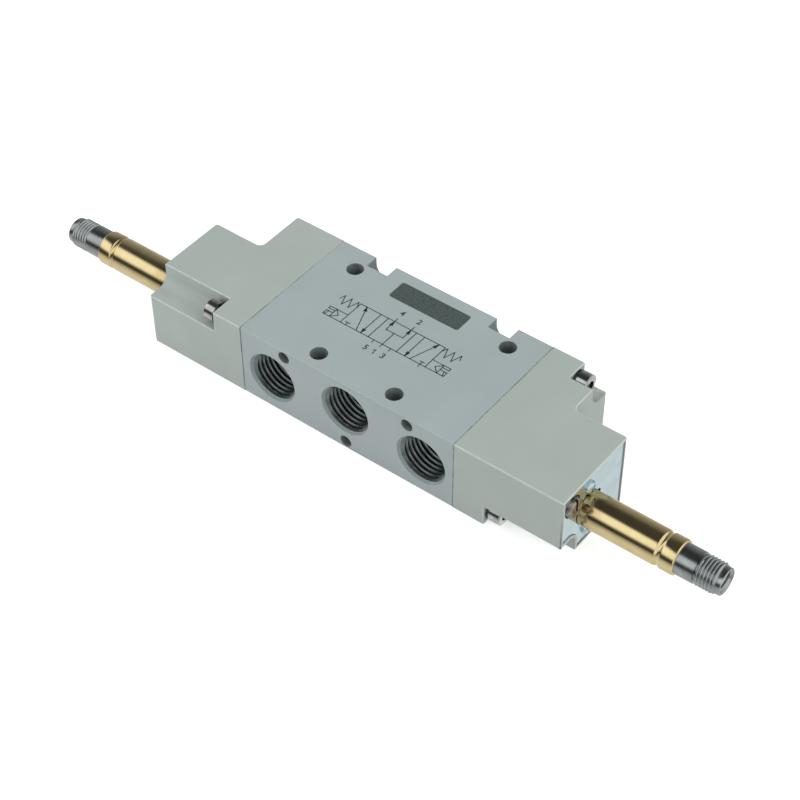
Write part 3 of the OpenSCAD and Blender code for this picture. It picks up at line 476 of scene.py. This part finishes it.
# Places and sizes on the print, in millimetres
LEFT_X, SQUARE_W, LOW_Y, HIGH_Y = -14.0, 8.5, -3.95, 4.1
PORT_LANES = (0.22, 0.51, 0.81)
OUTER_W, BOX_Y, SPLIT_W = 5.35, -0.9, 3.4
BOX_RUNGS = (-1.65, -2.5)
PILOT_TIP_W, PILOT_SLASH = 1.55, (1.2, 1.6)
SPRING_YS, SPRING_FIRST, SPRING_STEP, SPRING_PEAKS = (1.15, 2.65, 4.2), 0.7, 1.02, 5
TICK, EXHAUST_TICK = 0.95, 1.235
JUNCTION_Y = 0.68
STUB_H, STUB_W = 0.93, 1.25
ARROW_L, ARROW_R = 2.0, 0.56
TRIANGLE_H = 1.5
ARROWS = (((-9.15, LOW_Y), (-12.1, HIGH_Y)), ((-7.75, HIGH_Y), (-7.75, LOW_Y)),
          ((5.45, HIGH_Y), (5.45, LOW_Y)), ((6.95, LOW_Y), (9.75, HIGH_Y)))
BLOCKED_XS = (-12.4, 10.05)
NUMBER_1 = ((-1.65, -6.75), (-1.15, -6.4), (-1.15, -7.9))
NUMBERS = (("4", (-3.8, 7.4)), ("2", (1.3, 7.4)), ("5", (-3.7, -7.15)), ("3", (1.35, -7.15)))
DIGIT_SIZE = 2.4
DIGIT_WEIGHT = 0.045 * MM
PANEL_X, PANEL_Y = (-10.6, 10.2), (10.55, 16.55)
PANEL_CORNER, PANEL_CORNER_STEPS = 0.7 * MM, 6


def stroke(a, b):
    """One printed line between two points in millimetres, added to the print in edit mode."""
    a, b = Vector(a) * MM, Vector(b) * MM
    run = b - a
    bpy.ops.mesh.primitive_cube_add(
        size=1, location=(*((a + b) / 2), TOP + INK_T / 2),
        rotation=(0, 0, math.atan2(run.y, run.x)), scale=(run.length + LINE_W, LINE_W, INK_T))


def chain(*points):
    """Printed lines from point to point."""
    for a, b in zip(points, points[1:]):
        stroke(a, b)


def arrow(a, b):
    """A printed line with a filled head at its end: a triangle as long as TRIANGLE_H times
    its radius before it is scaled."""
    stroke(a, b)
    run = (Vector(b) - Vector(a)).normalized()
    middle = Vector(b) - run * ARROW_L / 2
    bpy.ops.mesh.primitive_cylinder_add(
        vertices=3, radius=MM, depth=1, location=(*(middle * MM), TOP + INK_T / 2),
        rotation=(0, 0, math.atan2(run.y, run.x) - math.pi / 2),
        scale=(ARROW_R / math.cos(math.pi / 6), ARROW_L / TRIANGLE_H, INK_T))


bpy.ops.object.select_all(action="DESELECT")
bpy.ops.mesh.primitive_cube_add(size=MM)
symbol = bpy.context.object
symbol.name = "printed_symbol"
bpy.ops.object.mode_set(mode="EDIT")
bpy.ops.mesh.select_all(action="SELECT")
bpy.ops.mesh.delete(type="VERT")
right_x = LEFT_X + 3 * SQUARE_W
stroke((LEFT_X, HIGH_Y), (right_x, HIGH_Y))
stroke((LEFT_X - OUTER_W, LOW_Y), (right_x + OUTER_W, LOW_Y))
for k in range(4):
    x = LEFT_X + k * SQUARE_W
    stroke((x, LOW_Y), (x, HIGH_Y))
for start, tip in ARROWS:
    arrow(start, tip)
port_5, port_1, port_3 = (LEFT_X + SQUARE_W * (1 + lane) for lane in PORT_LANES)
stroke((port_1, LOW_Y - TICK), (port_1, JUNCTION_Y))
stroke((port_5, JUNCTION_Y), (port_3, JUNCTION_Y))
for x in (port_5, port_3):
    arrow((x, JUNCTION_Y), (x, HIGH_Y))
    stroke((x, HIGH_Y), (x, HIGH_Y + EXHAUST_TICK))
    stroke((x, LOW_Y), (x, LOW_Y - TICK))
stroke((BLOCKED_XS[1], LOW_Y), (BLOCKED_XS[1], LOW_Y - TICK))
chain(*NUMBER_1)
for x in BLOCKED_XS:
    stroke((x, LOW_Y), (x, LOW_Y + STUB_H))
    stroke((x - STUB_W / 2, LOW_Y + STUB_H), (x + STUB_W / 2, LOW_Y + STUB_H))
for start, side in ((LEFT_X, -1), (right_x, 1)):
    low_y, mid_y, high_y = SPRING_YS
    peaks = [(start + side * (SPRING_FIRST + SPRING_STEP * k), low_y if k % 2 else high_y)
             for k in range(SPRING_PEAKS)]
    last = (peaks[-1][0] + side * SPRING_STEP / 2, mid_y)
    chain((start, mid_y), *peaks, last)
    split, outer = start + side * SPLIT_W, start + side * OUTER_W
    apex_y = (BOX_Y + LOW_Y) / 2
    chain((start, BOX_Y), (outer, BOX_Y), (outer, BOX_RUNGS[0]), (split, BOX_RUNGS[0]))
    chain((split, BOX_RUNGS[1]), (outer, BOX_RUNGS[1]), (outer, LOW_Y))
    chain((split, LOW_Y), (split, BOX_Y), (split - side * PILOT_TIP_W, apex_y), (split, LOW_Y))
    stroke((split + side * PILOT_SLASH[0], BOX_RUNGS[1]),
           (split + side * PILOT_SLASH[1], LOW_Y))
bpy.ops.object.mode_set(mode="OBJECT")

digits = []
for digit, place in NUMBERS:
    bpy.ops.object.text_add(location=(place[0] * MM, place[1] * MM, TOP + INK_T / 2))
    text = bpy.context.object
    text.data.body = digit
    text.data.align_x, text.data.align_y = "CENTER", "CENTER"
    text.data.size = DIGIT_SIZE * MM
    text.data.extrude = INK_T / 2
    text.data.offset = DIGIT_WEIGHT
    bpy.ops.object.convert(target="MESH")
    apply_place()
    digits.append(text)

bpy.ops.object.select_all(action="DESELECT")
bpy.ops.mesh.primitive_cube_add(
    size=1, location=(sum(PANEL_X) / 2 * MM, sum(PANEL_Y) / 2 * MM, TOP + INK_T / 2),
    scale=((PANEL_X[1] - PANEL_X[0]) * MM, (PANEL_Y[1] - PANEL_Y[0]) * MM, INK_T))
panel = bpy.context.object
panel.name = "bare_printed_panel"
apply_place()
bpy.ops.object.mode_set(mode="EDIT")
bpy.ops.mesh.select_all(action="DESELECT")
bpy.ops.mesh.select_mode(type="EDGE")
bpy.ops.object.mode_set(mode="OBJECT")
for edge in panel.data.edges:
    low_end, high_end = (panel.data.vertices[i].co for i in edge.vertices)
    edge.select = abs(low_end.z - high_end.z) > INK_T / 2
bpy.ops.object.mode_set(mode="EDIT")
bpy.ops.mesh.bevel(offset=PANEL_CORNER, segments=PANEL_CORNER_STEPS, affect="EDGES")
bpy.ops.object.mode_set(mode="OBJECT")

bpy.ops.object.select_all(action="DESELECT")
for piece in digits + [symbol]:
    piece.select_set(True)
bpy.context.view_layer.objects.active = symbol
bpy.ops.object.join()

# Screen-printing ink: thin and nearly matt, dark for the lines and paler on the panel,
# where the coat shows through in fine specks
ink = finish(
    "screen-printing ink, lines", INK, INK_WORN, metallic=0.0,
    rough=(0.5, 0.65), cloud_mm=2.0, grain_mm=0.08, bump_mm=0.001)
thin_ink = finish(
    "screen-printing ink, panel", INK, PANEL_INK, metallic=0.0,
    rough=(0.5, 0.65), cloud_mm=0.35, grain_mm=0.08, bump_mm=0.001)
for piece, material in ((symbol, ink), (panel, thin_ink)):
    piece.data.materials.clear()
    piece.data.materials.append(material)
    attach(piece, "housing")


# End caps
# Two caps from one mould, in grey glass-filled nylon with a fine eroded texture. The outer
# edges have the small round that the mould leaves.
CAP_EDGE, CAP_EDGE_STEPS = 0.26 * MM, 3
LEVEL_NORMAL = 0.98
NYLON = "#a8b2ac"
NYLON_DARK = "#a4aea9"
NYLON_HIGHLIGHT = "#c3ccc6"
NYLON_HIGHLIGHT_DULL = "#b8c1bb"
NYLON_SEAM = "#646c69"
# The two ends of the valve, and which way each faces along X
ENDS = (("right", 1), ("left", -1))


def on_cap_skin(low, high):
    """A test for edges on one side, the top or the bottom of a cap."""
    return lambda a, b: any(
        abs(a[axis] - limit) < TINY and abs(b[axis] - limit) < TINY
        for axis in (1, 2) for limit in (low[axis], high[axis]))


# Glass-filled nylon: even grey, matt, with a shallow eroded grain and faint flow clouds
nylon = finish(
    "moulded glass-filled nylon", NYLON_DARK, NYLON, metallic=0.0,
    rough=(0.46, 0.6), cloud_mm=14.0, grain_mm=0.22, bump_mm=0.004)
# The same nylon on the eased edges and the end lip, painted paler as a highlight
nylon_painted_highlight = finish(
    "nylon with a painted highlight on an edge", NYLON_HIGHLIGHT_DULL, NYLON_HIGHLIGHT, metallic=0.0,
    rough=(0.36, 0.5), cloud_mm=0.9, grain_mm=0.22, bump_mm=0.002)
# The same nylon in the narrow joint with the body, where dust and shade darken it
nylon_seam = finish(
    "nylon in the joint", NYLON_SEAM, NYLON_DARK, metallic=0.0,
    rough=(0.5, 0.65), cloud_mm=6.0, grain_mm=0.22, bump_mm=0.002)

for side, outward in ENDS:
    low, high = (Vector(v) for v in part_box(side + "_end_cap"))
    lip = high.x if outward > 0 else low.x
    cap = eased_copy(side + "_end_cap", side + "_cap_shell", CAP_EDGE, CAP_EDGE_STEPS,
                     on_cap_skin(low, high))
    cap.data.materials.clear()
    for material in (nylon, nylon_painted_highlight, nylon_seam):
        cap.data.materials.append(material)
    for face in cap.data.polygons:
        eased = face.select and max(abs(part) for part in face.normal) < LEVEL_NORMAL
        at_seam = abs(abs(face.center.x) - body_high.x) < CAP_EDGE
        on_lip = abs(face.center.x - lip) < TINY
        # Eased faces and the lip's end face take the painted highlight; eased faces at the joint
        # take the dark seam colour
        face.material_index = 2 if eased and at_seam else int(eased or on_lip)
    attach(cap, "housing")
    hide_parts(side + "_end_cap")


# Cap screws
# Socket cap screws, two in opposite corners of each cap, steel with bright nickel. The heads
# stand on dark split washers, left out of the solids; their black is also painted shade under the
# heads.
NICKEL = "#dcdddb"
NICKEL_DULL = "#b2b3b1"
HEAD_R = 2.75 * MM
HEAD_L = 3.0 * MM
WASHER_T = 0.9 * MM
WASHER_R, WASHER_HOLE_R = 2.6 * MM, 1.6 * MM
WASHER_SPLIT = 0.5 * MM
BLACK_STEEL_AND_SHADE = "#3a3d3e"
BLACK_STEEL_WORN = "#5c6061"
RIM_EDGE, RIM_EDGE_STEPS = 0.42 * MM, 3
RIM_MARGIN = 0.3 * MM
LATHE_STEPS = 96


def from_axis(co, axes):
    """The distance of a point from the nearest of some axes along X, each a Y and a Z."""
    return min(math.hypot(co.y - y, co.z - z) for y, z in axes)


# Nickel on steel: mirror-like, a little warm, with dull smears from handling
nickel = finish(
    "bright nickel plate", NICKEL_DULL, NICKEL, metallic=1.0,
    rough=(0.06, 0.12), cloud_mm=1.6, grain_mm=0.3, bump_mm=0.0005)
# Black spring steel: dark and satin, rubbed a little paler in places; its black is also painted
# shade
black_steel_and_shade = finish(
    "black spring steel, with painted shade", BLACK_STEEL_AND_SHADE, BLACK_STEEL_WORN, metallic=0.8,
    rough=(0.35, 0.5), cloud_mm=0.8, grain_mm=0.15, bump_mm=0.002)

bpy.ops.object.select_all(action="DESELECT")
bpy.ops.mesh.primitive_circle_add(vertices=LATHE_STEPS, radius=WASHER_R, fill_type="NGON")
washer_pattern = bpy.context.object
bpy.ops.object.mode_set(mode="EDIT")
bpy.ops.mesh.select_all(action="SELECT")
bpy.ops.mesh.inset(thickness=WASHER_R - WASHER_HOLE_R)
bpy.ops.mesh.delete(type="FACE")
bpy.ops.mesh.select_all(action="SELECT")
bpy.ops.mesh.extrude_region_move(TRANSFORM_OT_translate={"value": (0, 0, WASHER_T)})
select_vertices(washer_pattern, lambda co: co.x > 0 and abs(co.y) < WASHER_SPLIT / 2)
bpy.ops.mesh.delete(type="VERT")
bpy.ops.mesh.select_all(action="DESELECT")
bpy.ops.mesh.select_non_manifold()
bpy.ops.mesh.fill_holes(sides=0)
bpy.ops.mesh.select_all(action="SELECT")
settled(SMOOTH_ANGLE)

for side, outward in ENDS:
    low, high = (Vector(v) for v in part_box(side + "_cap_screws"))
    rim_x = high.x if outward > 0 else low.x
    seat_x = rim_x - outward * HEAD_L
    middle_y = (low.y + high.y) / 2
    points = [v.co for v in frame["nodes"][side + "_cap_screws"].data.vertices]
    head_axes = []
    for half in (-1, 1):
        mine = [p for p in points if (p.y - middle_y) * half > 0]
        head_axes.append(tuple((min(p[a] for p in mine) + max(p[a] for p in mine)) / 2
                               for a in (1, 2)))
    screws = eased_copy(
        side + "_cap_screws", side + "_eased_screws", RIM_EDGE, RIM_EDGE_STEPS,
        lambda a, b: abs(a.x - rim_x) < TINY and abs(b.x - rim_x) < TINY
        and all(from_axis(co, head_axes) > HEAD_R - RIM_MARGIN for co in (a, b)))
    for vertex in screws.data.vertices:
        if (vertex.co.x - seat_x) * outward > -TINY:
            vertex.co.x += outward * WASHER_T
    screws.data.materials.clear()
    screws.data.materials.append(nickel)
    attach(screws, "housing")
    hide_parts(side + "_cap_screws")
    for place, (y, z) in zip(("front", "back"), head_axes):
        washer = set_along(washer_pattern, side + "_" + place + "_washer", (seat_x, y, z),
                           (outward, 0, 0), black_steel_and_shade)
        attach(washer, "housing")
bpy.data.objects.remove(washer_pattern)


# Pilot plates
# Sheet steel with clear zinc, bluish and nearly a mirror. Each plate lies in a recess and
# holds the tube and the override, under two small pan-head screws.
ZINC = "#cde0e3"
ZINC_DULL = "#c2d6da"
ROLLED = (1, 1, 0.1)


def clothe(nodes, material):
    """Gives CAD nodes a material."""
    for name in nodes:
        for slot in frame["nodes"][name].material_slots:
            slot.material = material


def both_ends(*kinds):
    """The names of a piece at the right-hand and the left-hand end."""
    return [side + "_" + kind for kind in kinds for side, _ in ENDS]


# Clear zinc plate: cool and bright, with soft cloudy dulling and fine marks of rolling
zinc = finish(
    "clear zinc plate", ZINC_DULL, ZINC, metallic=1.0,
    rough=(0.15, 0.24), cloud_mm=4.0, grain_mm=0.15, bump_mm=0.0002, drawn=ROLLED)
clothe(both_ends("pilot_plate", "plate_screws"), zinc)


# Armature tubes
# Drawn and turned brass, 9 mm across, rolled into a groove that holds the core. Each is
# turned here anew, since the real groove is narrower and rounder than the solid's.
BRASS = "#efddaa"
BRASS_DEEP = "#e8d39c"
PATINA = "#8c6636"
PATINA_L, PATINA_SHARE = 9.0 * MM, 0.8
PATINA_CLOUD, PATINA_DETAIL = 3.2 * MM, 1.5
TUBE_WALL = 0.65 * MM
TUBE_FOOT_T = 2.1 * MM
NECK_R = 4.3 * MM
NECK_RISE = 0.15 * MM
GROOVE_W, GROOVE_DEPTH, GROOVE_SETBACK = 1.9 * MM, 0.36 * MM, 3.4 * MM
GROOVE_STEPS = 14
TURNED = (1, 0.02, 0.02)
ROLL_R, ROLL_STEPS = 0.45 * MM, 4


def outline(points):
    """A closed outline in the XZ plane, drawn by pushing one corner from point to point. Each
    point is a radius and a height. The outline is left in edit mode."""
    bpy.ops.object.select_all(action="DESELECT")
    bpy.ops.mesh.primitive_plane_add(size=MM, location=(points[0][0], 0, points[0][1]))
    apply_place()
    bpy.ops.object.mode_set(mode="EDIT")
    bpy.ops.mesh.select_mode(type="VERT")
    bpy.ops.mesh.select_all(action="SELECT")
    bpy.ops.mesh.merge(type="CENTER")
    for (r, z), (next_r, next_z) in zip(points, points[1:] + points[:1]):
        bpy.ops.mesh.extrude_region_move(
            TRANSFORM_OT_translate={"value": (next_r - r, 0, next_z - z)})
    bpy.ops.mesh.select_all(action="SELECT")
    bpy.ops.mesh.remove_doubles(threshold=MERGE_GAP)
    bpy.ops.object.mode_set(mode="OBJECT")
    return bpy.context.object


# Turned brass: warm and bright with fine rings round its axis, browned by heat at the foot
brass = finish(
    "turned brass", BRASS_DEEP, BRASS, metallic=1.0,
    rough=(0.1, 0.17), cloud_mm=3.0, grain_mm=0.14, bump_mm=0.0002, drawn=TURNED)
tree = brass.node_tree
shader = next(n for n in tree.nodes if n.type == "BSDF_PRINCIPLED")
place = add(tree, "TexCoord").outputs["Object"]
axes = add(tree, "SeparateXYZ", {0: place})
reach = add(tree, "Math", {0: axes.outputs["X"]}, operation="ABSOLUTE")
plate_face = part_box("right_pilot_plate")[1][0]
near = add(tree, "MapRange", {"Value": reach.outputs[0], "From Min": plate_face,
                              "From Max": plate_face + PATINA_L, "To Min": PATINA_SHARE,
                              "To Max": 0.0}, interpolation_type="SMOOTHSTEP")
cloud = add(tree, "TexNoise", {"Vector": place, "Scale": 1 / PATINA_CLOUD,
                               "Detail": PATINA_DETAIL})
patches = add(tree, "Math", {0: near.outputs[0], 1: cloud.outputs[0]}, operation="MULTIPLY")
plain = shader.inputs["Base Color"].links[0].from_socket
browned = add(tree, "Mix", {0: patches.outputs[0], 6: plain, 7: linear(PATINA)},
              data_type="RGBA")
tree.links.new(browned.outputs[2], shader.inputs["Base Color"])
clothe(both_ends("pilot_nozzle", "seal_retainer") + ["seal_spacers"], brass)

low, high = (Vector(v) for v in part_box("right_armature_tube"))
foot_r = (high.z - low.z) / 2
tube_r = mounts["right_coil_tube"]["dims"]["r_mm"] * MM
plate_low, plate_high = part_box("right_pilot_plate")[0][0] - low.x, plate_face - low.x
tube_end = high.x - low.x


def grooved(r):
    """The points of the rolled groove in a wall of radius r, from its near edge outwards."""
    start = tube_end - GROOVE_SETBACK - GROOVE_W
    return [(r - GROOVE_DEPTH * (1 - math.cos(2 * math.pi * k / GROOVE_STEPS)) / 2,
             start + GROOVE_W * k / GROOVE_STEPS) for k in range(GROOVE_STEPS + 1)]


bore_r = tube_r - TUBE_WALL
foot_low = plate_low - TUBE_FOOT_T
rolled_end = [(tube_r - ROLL_R + ROLL_R * math.cos(math.pi / 2 * k / ROLL_STEPS),
               tube_end - ROLL_R + ROLL_R * math.sin(math.pi / 2 * k / ROLL_STEPS))
              for k in range(ROLL_STEPS + 1)]
pattern = outline([
    (bore_r, 0), (tube_r, 0), (tube_r, foot_low), (foot_r, foot_low), (foot_r, plate_low),
    (NECK_R, plate_low), (NECK_R, plate_high + NECK_RISE), (tube_r, plate_high + NECK_RISE),
    *grooved(tube_r), *rolled_end, (bore_r, tube_end), *reversed(grooved(bore_r))])
wound(pattern, 0, 1, LATHE_STEPS)
settled(SMOOTH_ANGLE)
for side, outward in ENDS:
    low, high = (Vector(v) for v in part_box(side + "_armature_tube"))
    start = ((low.x if outward > 0 else high.x), *mounts[side + "_coil_tube"]["pos_m"][1:])
    tube = set_along(pattern, side + "_turned_tube", start, (outward, 0, 0), brass)
    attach(tube, "housing")
    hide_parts(side + "_armature_tube")
bpy.data.objects.remove(pattern)


# Fixed cores
# Ferritic stainless bar, ground, dark and glossy, fixed in the tube, with a fine thread for
# the coil nut. Each is turned here anew: the real thread is longer than the solid's, and the
# exhaust mouth is wider and tapped.
CORE_STEEL = "#b2b7b7"
CORE_DARK = "#a0a5a5"
CORE_R, CORE_ROOT_R, CORE_TIP_R = 3.96 * MM, 3.55 * MM, 3.45 * MM
CORE_PLAIN_L, CORE_TIP_L = 4.85 * MM, 1.35 * MM
CORE_EDGE, CORE_FIT = 0.22 * MM, 0.03 * MM
SEAT_W, SEAT_H = 0.35 * MM, 0.3 * MM
CORE_BORE_R = 0.6 * MM
MOUTH_R, MOUTH_HOLE_R, MOUTH_CONE, MOUTH_L = 3.05 * MM, 2.65 * MM, 0.4 * MM, 5.6 * MM
CORE_PITCH = 0.85 * MM
CORE_CREST_R, CORE_CREST_W, CORE_LEAD = 3.93 * MM, 0.16 * MM, 0.6 * MM
MOUTH_PITCH, MOUTH_CREST_W, MOUTH_THREAD_L = 0.8 * MM, 0.12 * MM, 4.2 * MM
MOUTH_THREAD_DEPTH = 0.4 * MM

# Ground stainless: neutral grey, softly mirroring the dark room, with fine rings
stainless = finish(
    "ground stainless steel", CORE_DARK, CORE_STEEL, metallic=1.0,
    rough=(0.16, 0.26), cloud_mm=2.5, grain_mm=0.12, bump_mm=0.004, drawn=TURNED)
clothe(both_ends("armature"), stainless)

tube_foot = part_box("right_armature_tube")[0][0]
core_low, core_end = (v[0] - tube_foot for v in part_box("right_fixed_core"))
thread_low, thread_high = tube_end + CORE_PLAIN_L, core_end - CORE_TIP_L
fitted_r = bore_r - CORE_FIT
seat_z = core_low + SEAT_H
hole_floor = core_end - MOUTH_L
pattern = outline([
    (CORE_BORE_R, core_low), (CORE_BORE_R + SEAT_W, core_low),
    (CORE_BORE_R + 2 * SEAT_W, seat_z), (fitted_r - CORE_EDGE, seat_z),
    (fitted_r, seat_z + CORE_EDGE), *grooved(fitted_r), (fitted_r, tube_end),
    (CORE_R, tube_end), (CORE_R, thread_low - CORE_EDGE), (CORE_ROOT_R, thread_low),
    (CORE_ROOT_R, thread_high), (CORE_TIP_R, thread_high + CORE_EDGE),
    (CORE_TIP_R, core_end - CORE_EDGE), (CORE_TIP_R - CORE_EDGE, core_end),
    (MOUTH_R, core_end), (MOUTH_HOLE_R, core_end - MOUTH_CONE), (MOUTH_HOLE_R, hole_floor),
    (CORE_BORE_R, hole_floor - MOUTH_HOLE_R / 2)])
wound(pattern, 0, 1, LATHE_STEPS)
settled(SMOOTH_ANGLE)
outer_pattern = thread_ridge(CORE_ROOT_R - THREAD_SINK, CORE_CREST_R, CORE_PITCH, CORE_CREST_W,
                             thread_high - thread_low, CORE_LEAD)
inner_pattern = thread_ridge(MOUTH_HOLE_R + THREAD_SINK, MOUTH_HOLE_R - MOUTH_THREAD_DEPTH,
                             MOUTH_PITCH, MOUTH_CREST_W, MOUTH_THREAD_L, CORE_LEAD)
for side, outward in ENDS:
    foot_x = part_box(side + "_armature_tube")[0 if outward > 0 else 1][0]
    axis_y, axis_z = mounts[side + "_coil_tube"]["pos_m"][1:]
    core = set_along(pattern, side + "_turned_core", (foot_x, axis_y, axis_z),
                     (outward, 0, 0), stainless)
    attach(core, "housing")
    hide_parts(side + "_fixed_core")
    nut_thread = set_along(outer_pattern, side + "_core_thread",
                           (foot_x + outward * thread_low, axis_y, axis_z), (outward, 0, 0),
                           stainless)
    exhaust_thread = set_along(inner_pattern, side + "_exhaust_thread",
                               (foot_x + outward * (core_end - MOUTH_CONE), axis_y, axis_z),
                               (-outward, 0, 0), stainless)
    for thread in (nut_thread, exhaust_thread):
        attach(thread, "housing")
for made in (pattern, outer_pattern, inner_pattern):
    bpy.data.objects.remove(made)


# Manual overrides
# Turned steel buttons with nickel, slotted for a screwdriver, that turn in the plates. In the
# photograph the heads stand further out than the solids'.
OVERRIDE_RISE = 1.1 * MM
OVERRIDE_HEAD_L = 1.2 * MM
OVERRIDE_EDGE, OVERRIDE_EDGE_STEPS = 0.15 * MM, 2
OVERRIDE_NICKEL = "#b4ada4"
OVERRIDE_DULL = "#8b857d"

# Handled nickel: warmer and duller than on the screws, with small scratches
old_nickel = finish(
    "handled nickel plate", OVERRIDE_DULL, OVERRIDE_NICKEL, metallic=1.0,
    rough=(0.2, 0.28), cloud_mm=0.8, grain_mm=0.15, bump_mm=0.0005)

for side, outward in ENDS:
    low, high = (Vector(v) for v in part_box(side + "_manual_override"))
    face_x = high.x if outward > 0 else low.x
    button = eased_copy(
        side + "_manual_override", side + "_raised_override", OVERRIDE_EDGE,
        OVERRIDE_EDGE_STEPS, lambda a, b: abs(a.x - face_x) < TINY and abs(b.x - face_x) < TINY)
    for vertex in button.data.vertices:
        if abs(vertex.co.x - face_x) < OVERRIDE_HEAD_L:
            vertex.co.x += outward * OVERRIDE_RISE
    button.data.materials.clear()
    button.data.materials.append(old_nickel)
    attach(button, side + "_override_set")
    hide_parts(side + "_manual_override")


# Spool and pistons
# Aluminium, turned, ground and hard anodised. The spool's lands pass the seals, and its
# pins carry the pistons.
ANODISED = "#a8aaad"
ANODISED_DARK = "#8d8f93"

# Hard anodised aluminium: satin grey with fine grinding rings
anodised = finish(
    "hard anodised aluminium", ANODISED_DARK, ANODISED, metallic=0.85,
    rough=(0.3, 0.42), cloud_mm=3.0, grain_mm=0.2, bump_mm=0.001, drawn=TURNED)
clothe(["spool"] + both_ends("piston"), anodised)


# Seals
# Moulded nitrile rubber: the lipped spool seals, the O-rings, the cap gaskets and the
# rubbers in the armatures.
NITRILE = "#232425"
NITRILE_BLOOM = "#35373a"

# Nitrile rubber: black and matt, with a faint grey bloom
nitrile = finish(
    "nitrile rubber", NITRILE, NITRILE_BLOOM, metallic=0.0,
    rough=(0.5, 0.68), cloud_mm=1.2, grain_mm=0.2, bump_mm=0.004)
clothe(["spool_seals"] + both_ends("cap_gasket", "piston_seal", "tube_seal",
                                   "armature_rubbers", "override_seal"), nitrile)


# Springs
# Coiled from round stainless wire: one behind each piston and one on each armature. The
# solids are coarse, so each is wound again here from a round wire.
WIRE = "#b9bcbd"
WIRE_DARK = "#8f9294"
WIRE_SIDES = 14
WIRE_SMOOTH = math.radians(50)
# The wire's radius and the turns of each kind
SPRINGS = {"centring_spring": (0.35 * MM, 5), "armature_spring": (0.25 * MM, 5)}

# Drawn stainless wire: bright grey with the fine marks of the die
wire = finish(
    "drawn stainless wire", WIRE_DARK, WIRE, metallic=1.0,
    rough=(0.2, 0.32), cloud_mm=0.5, grain_mm=0.08, bump_mm=0.0008)

for kind, (wire_r, turns) in SPRINGS.items():
    low, high = (Vector(v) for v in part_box("right_" + kind))
    mean_r = (high.z - low.z) / 2 - wire_r
    pitch = (high.x - low.x - 2 * wire_r) / turns
    bpy.ops.object.select_all(action="DESELECT")
    bpy.ops.mesh.primitive_circle_add(vertices=WIRE_SIDES, radius=wire_r,
                                      location=(mean_r, 0, wire_r),
                                      rotation=(math.pi / 2, 0, 0))
    pattern = bpy.context.object
    apply_place()
    wound(pattern, pitch, turns)
    settled(WIRE_SMOOTH)
    for side, outward in ENDS:
        low, high = (Vector(v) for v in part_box(side + "_" + kind))
        axis_y, axis_z = mounts[side + "_coil_tube"]["pos_m"][1:]
        if kind == "centring_spring":
            axis_y = 0
        start = Vector((low.x if outward > 0 else high.x, axis_y, axis_z))
        spring = set_along(pattern, side + "_wound_" + kind, start, (outward, 0, 0), wire)
        if kind == "centring_spring":
            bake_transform(spring)
        else:
            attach(spring, "housing")
            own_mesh(spring)
        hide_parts(side + "_" + kind)
    bpy.data.objects.remove(pattern)
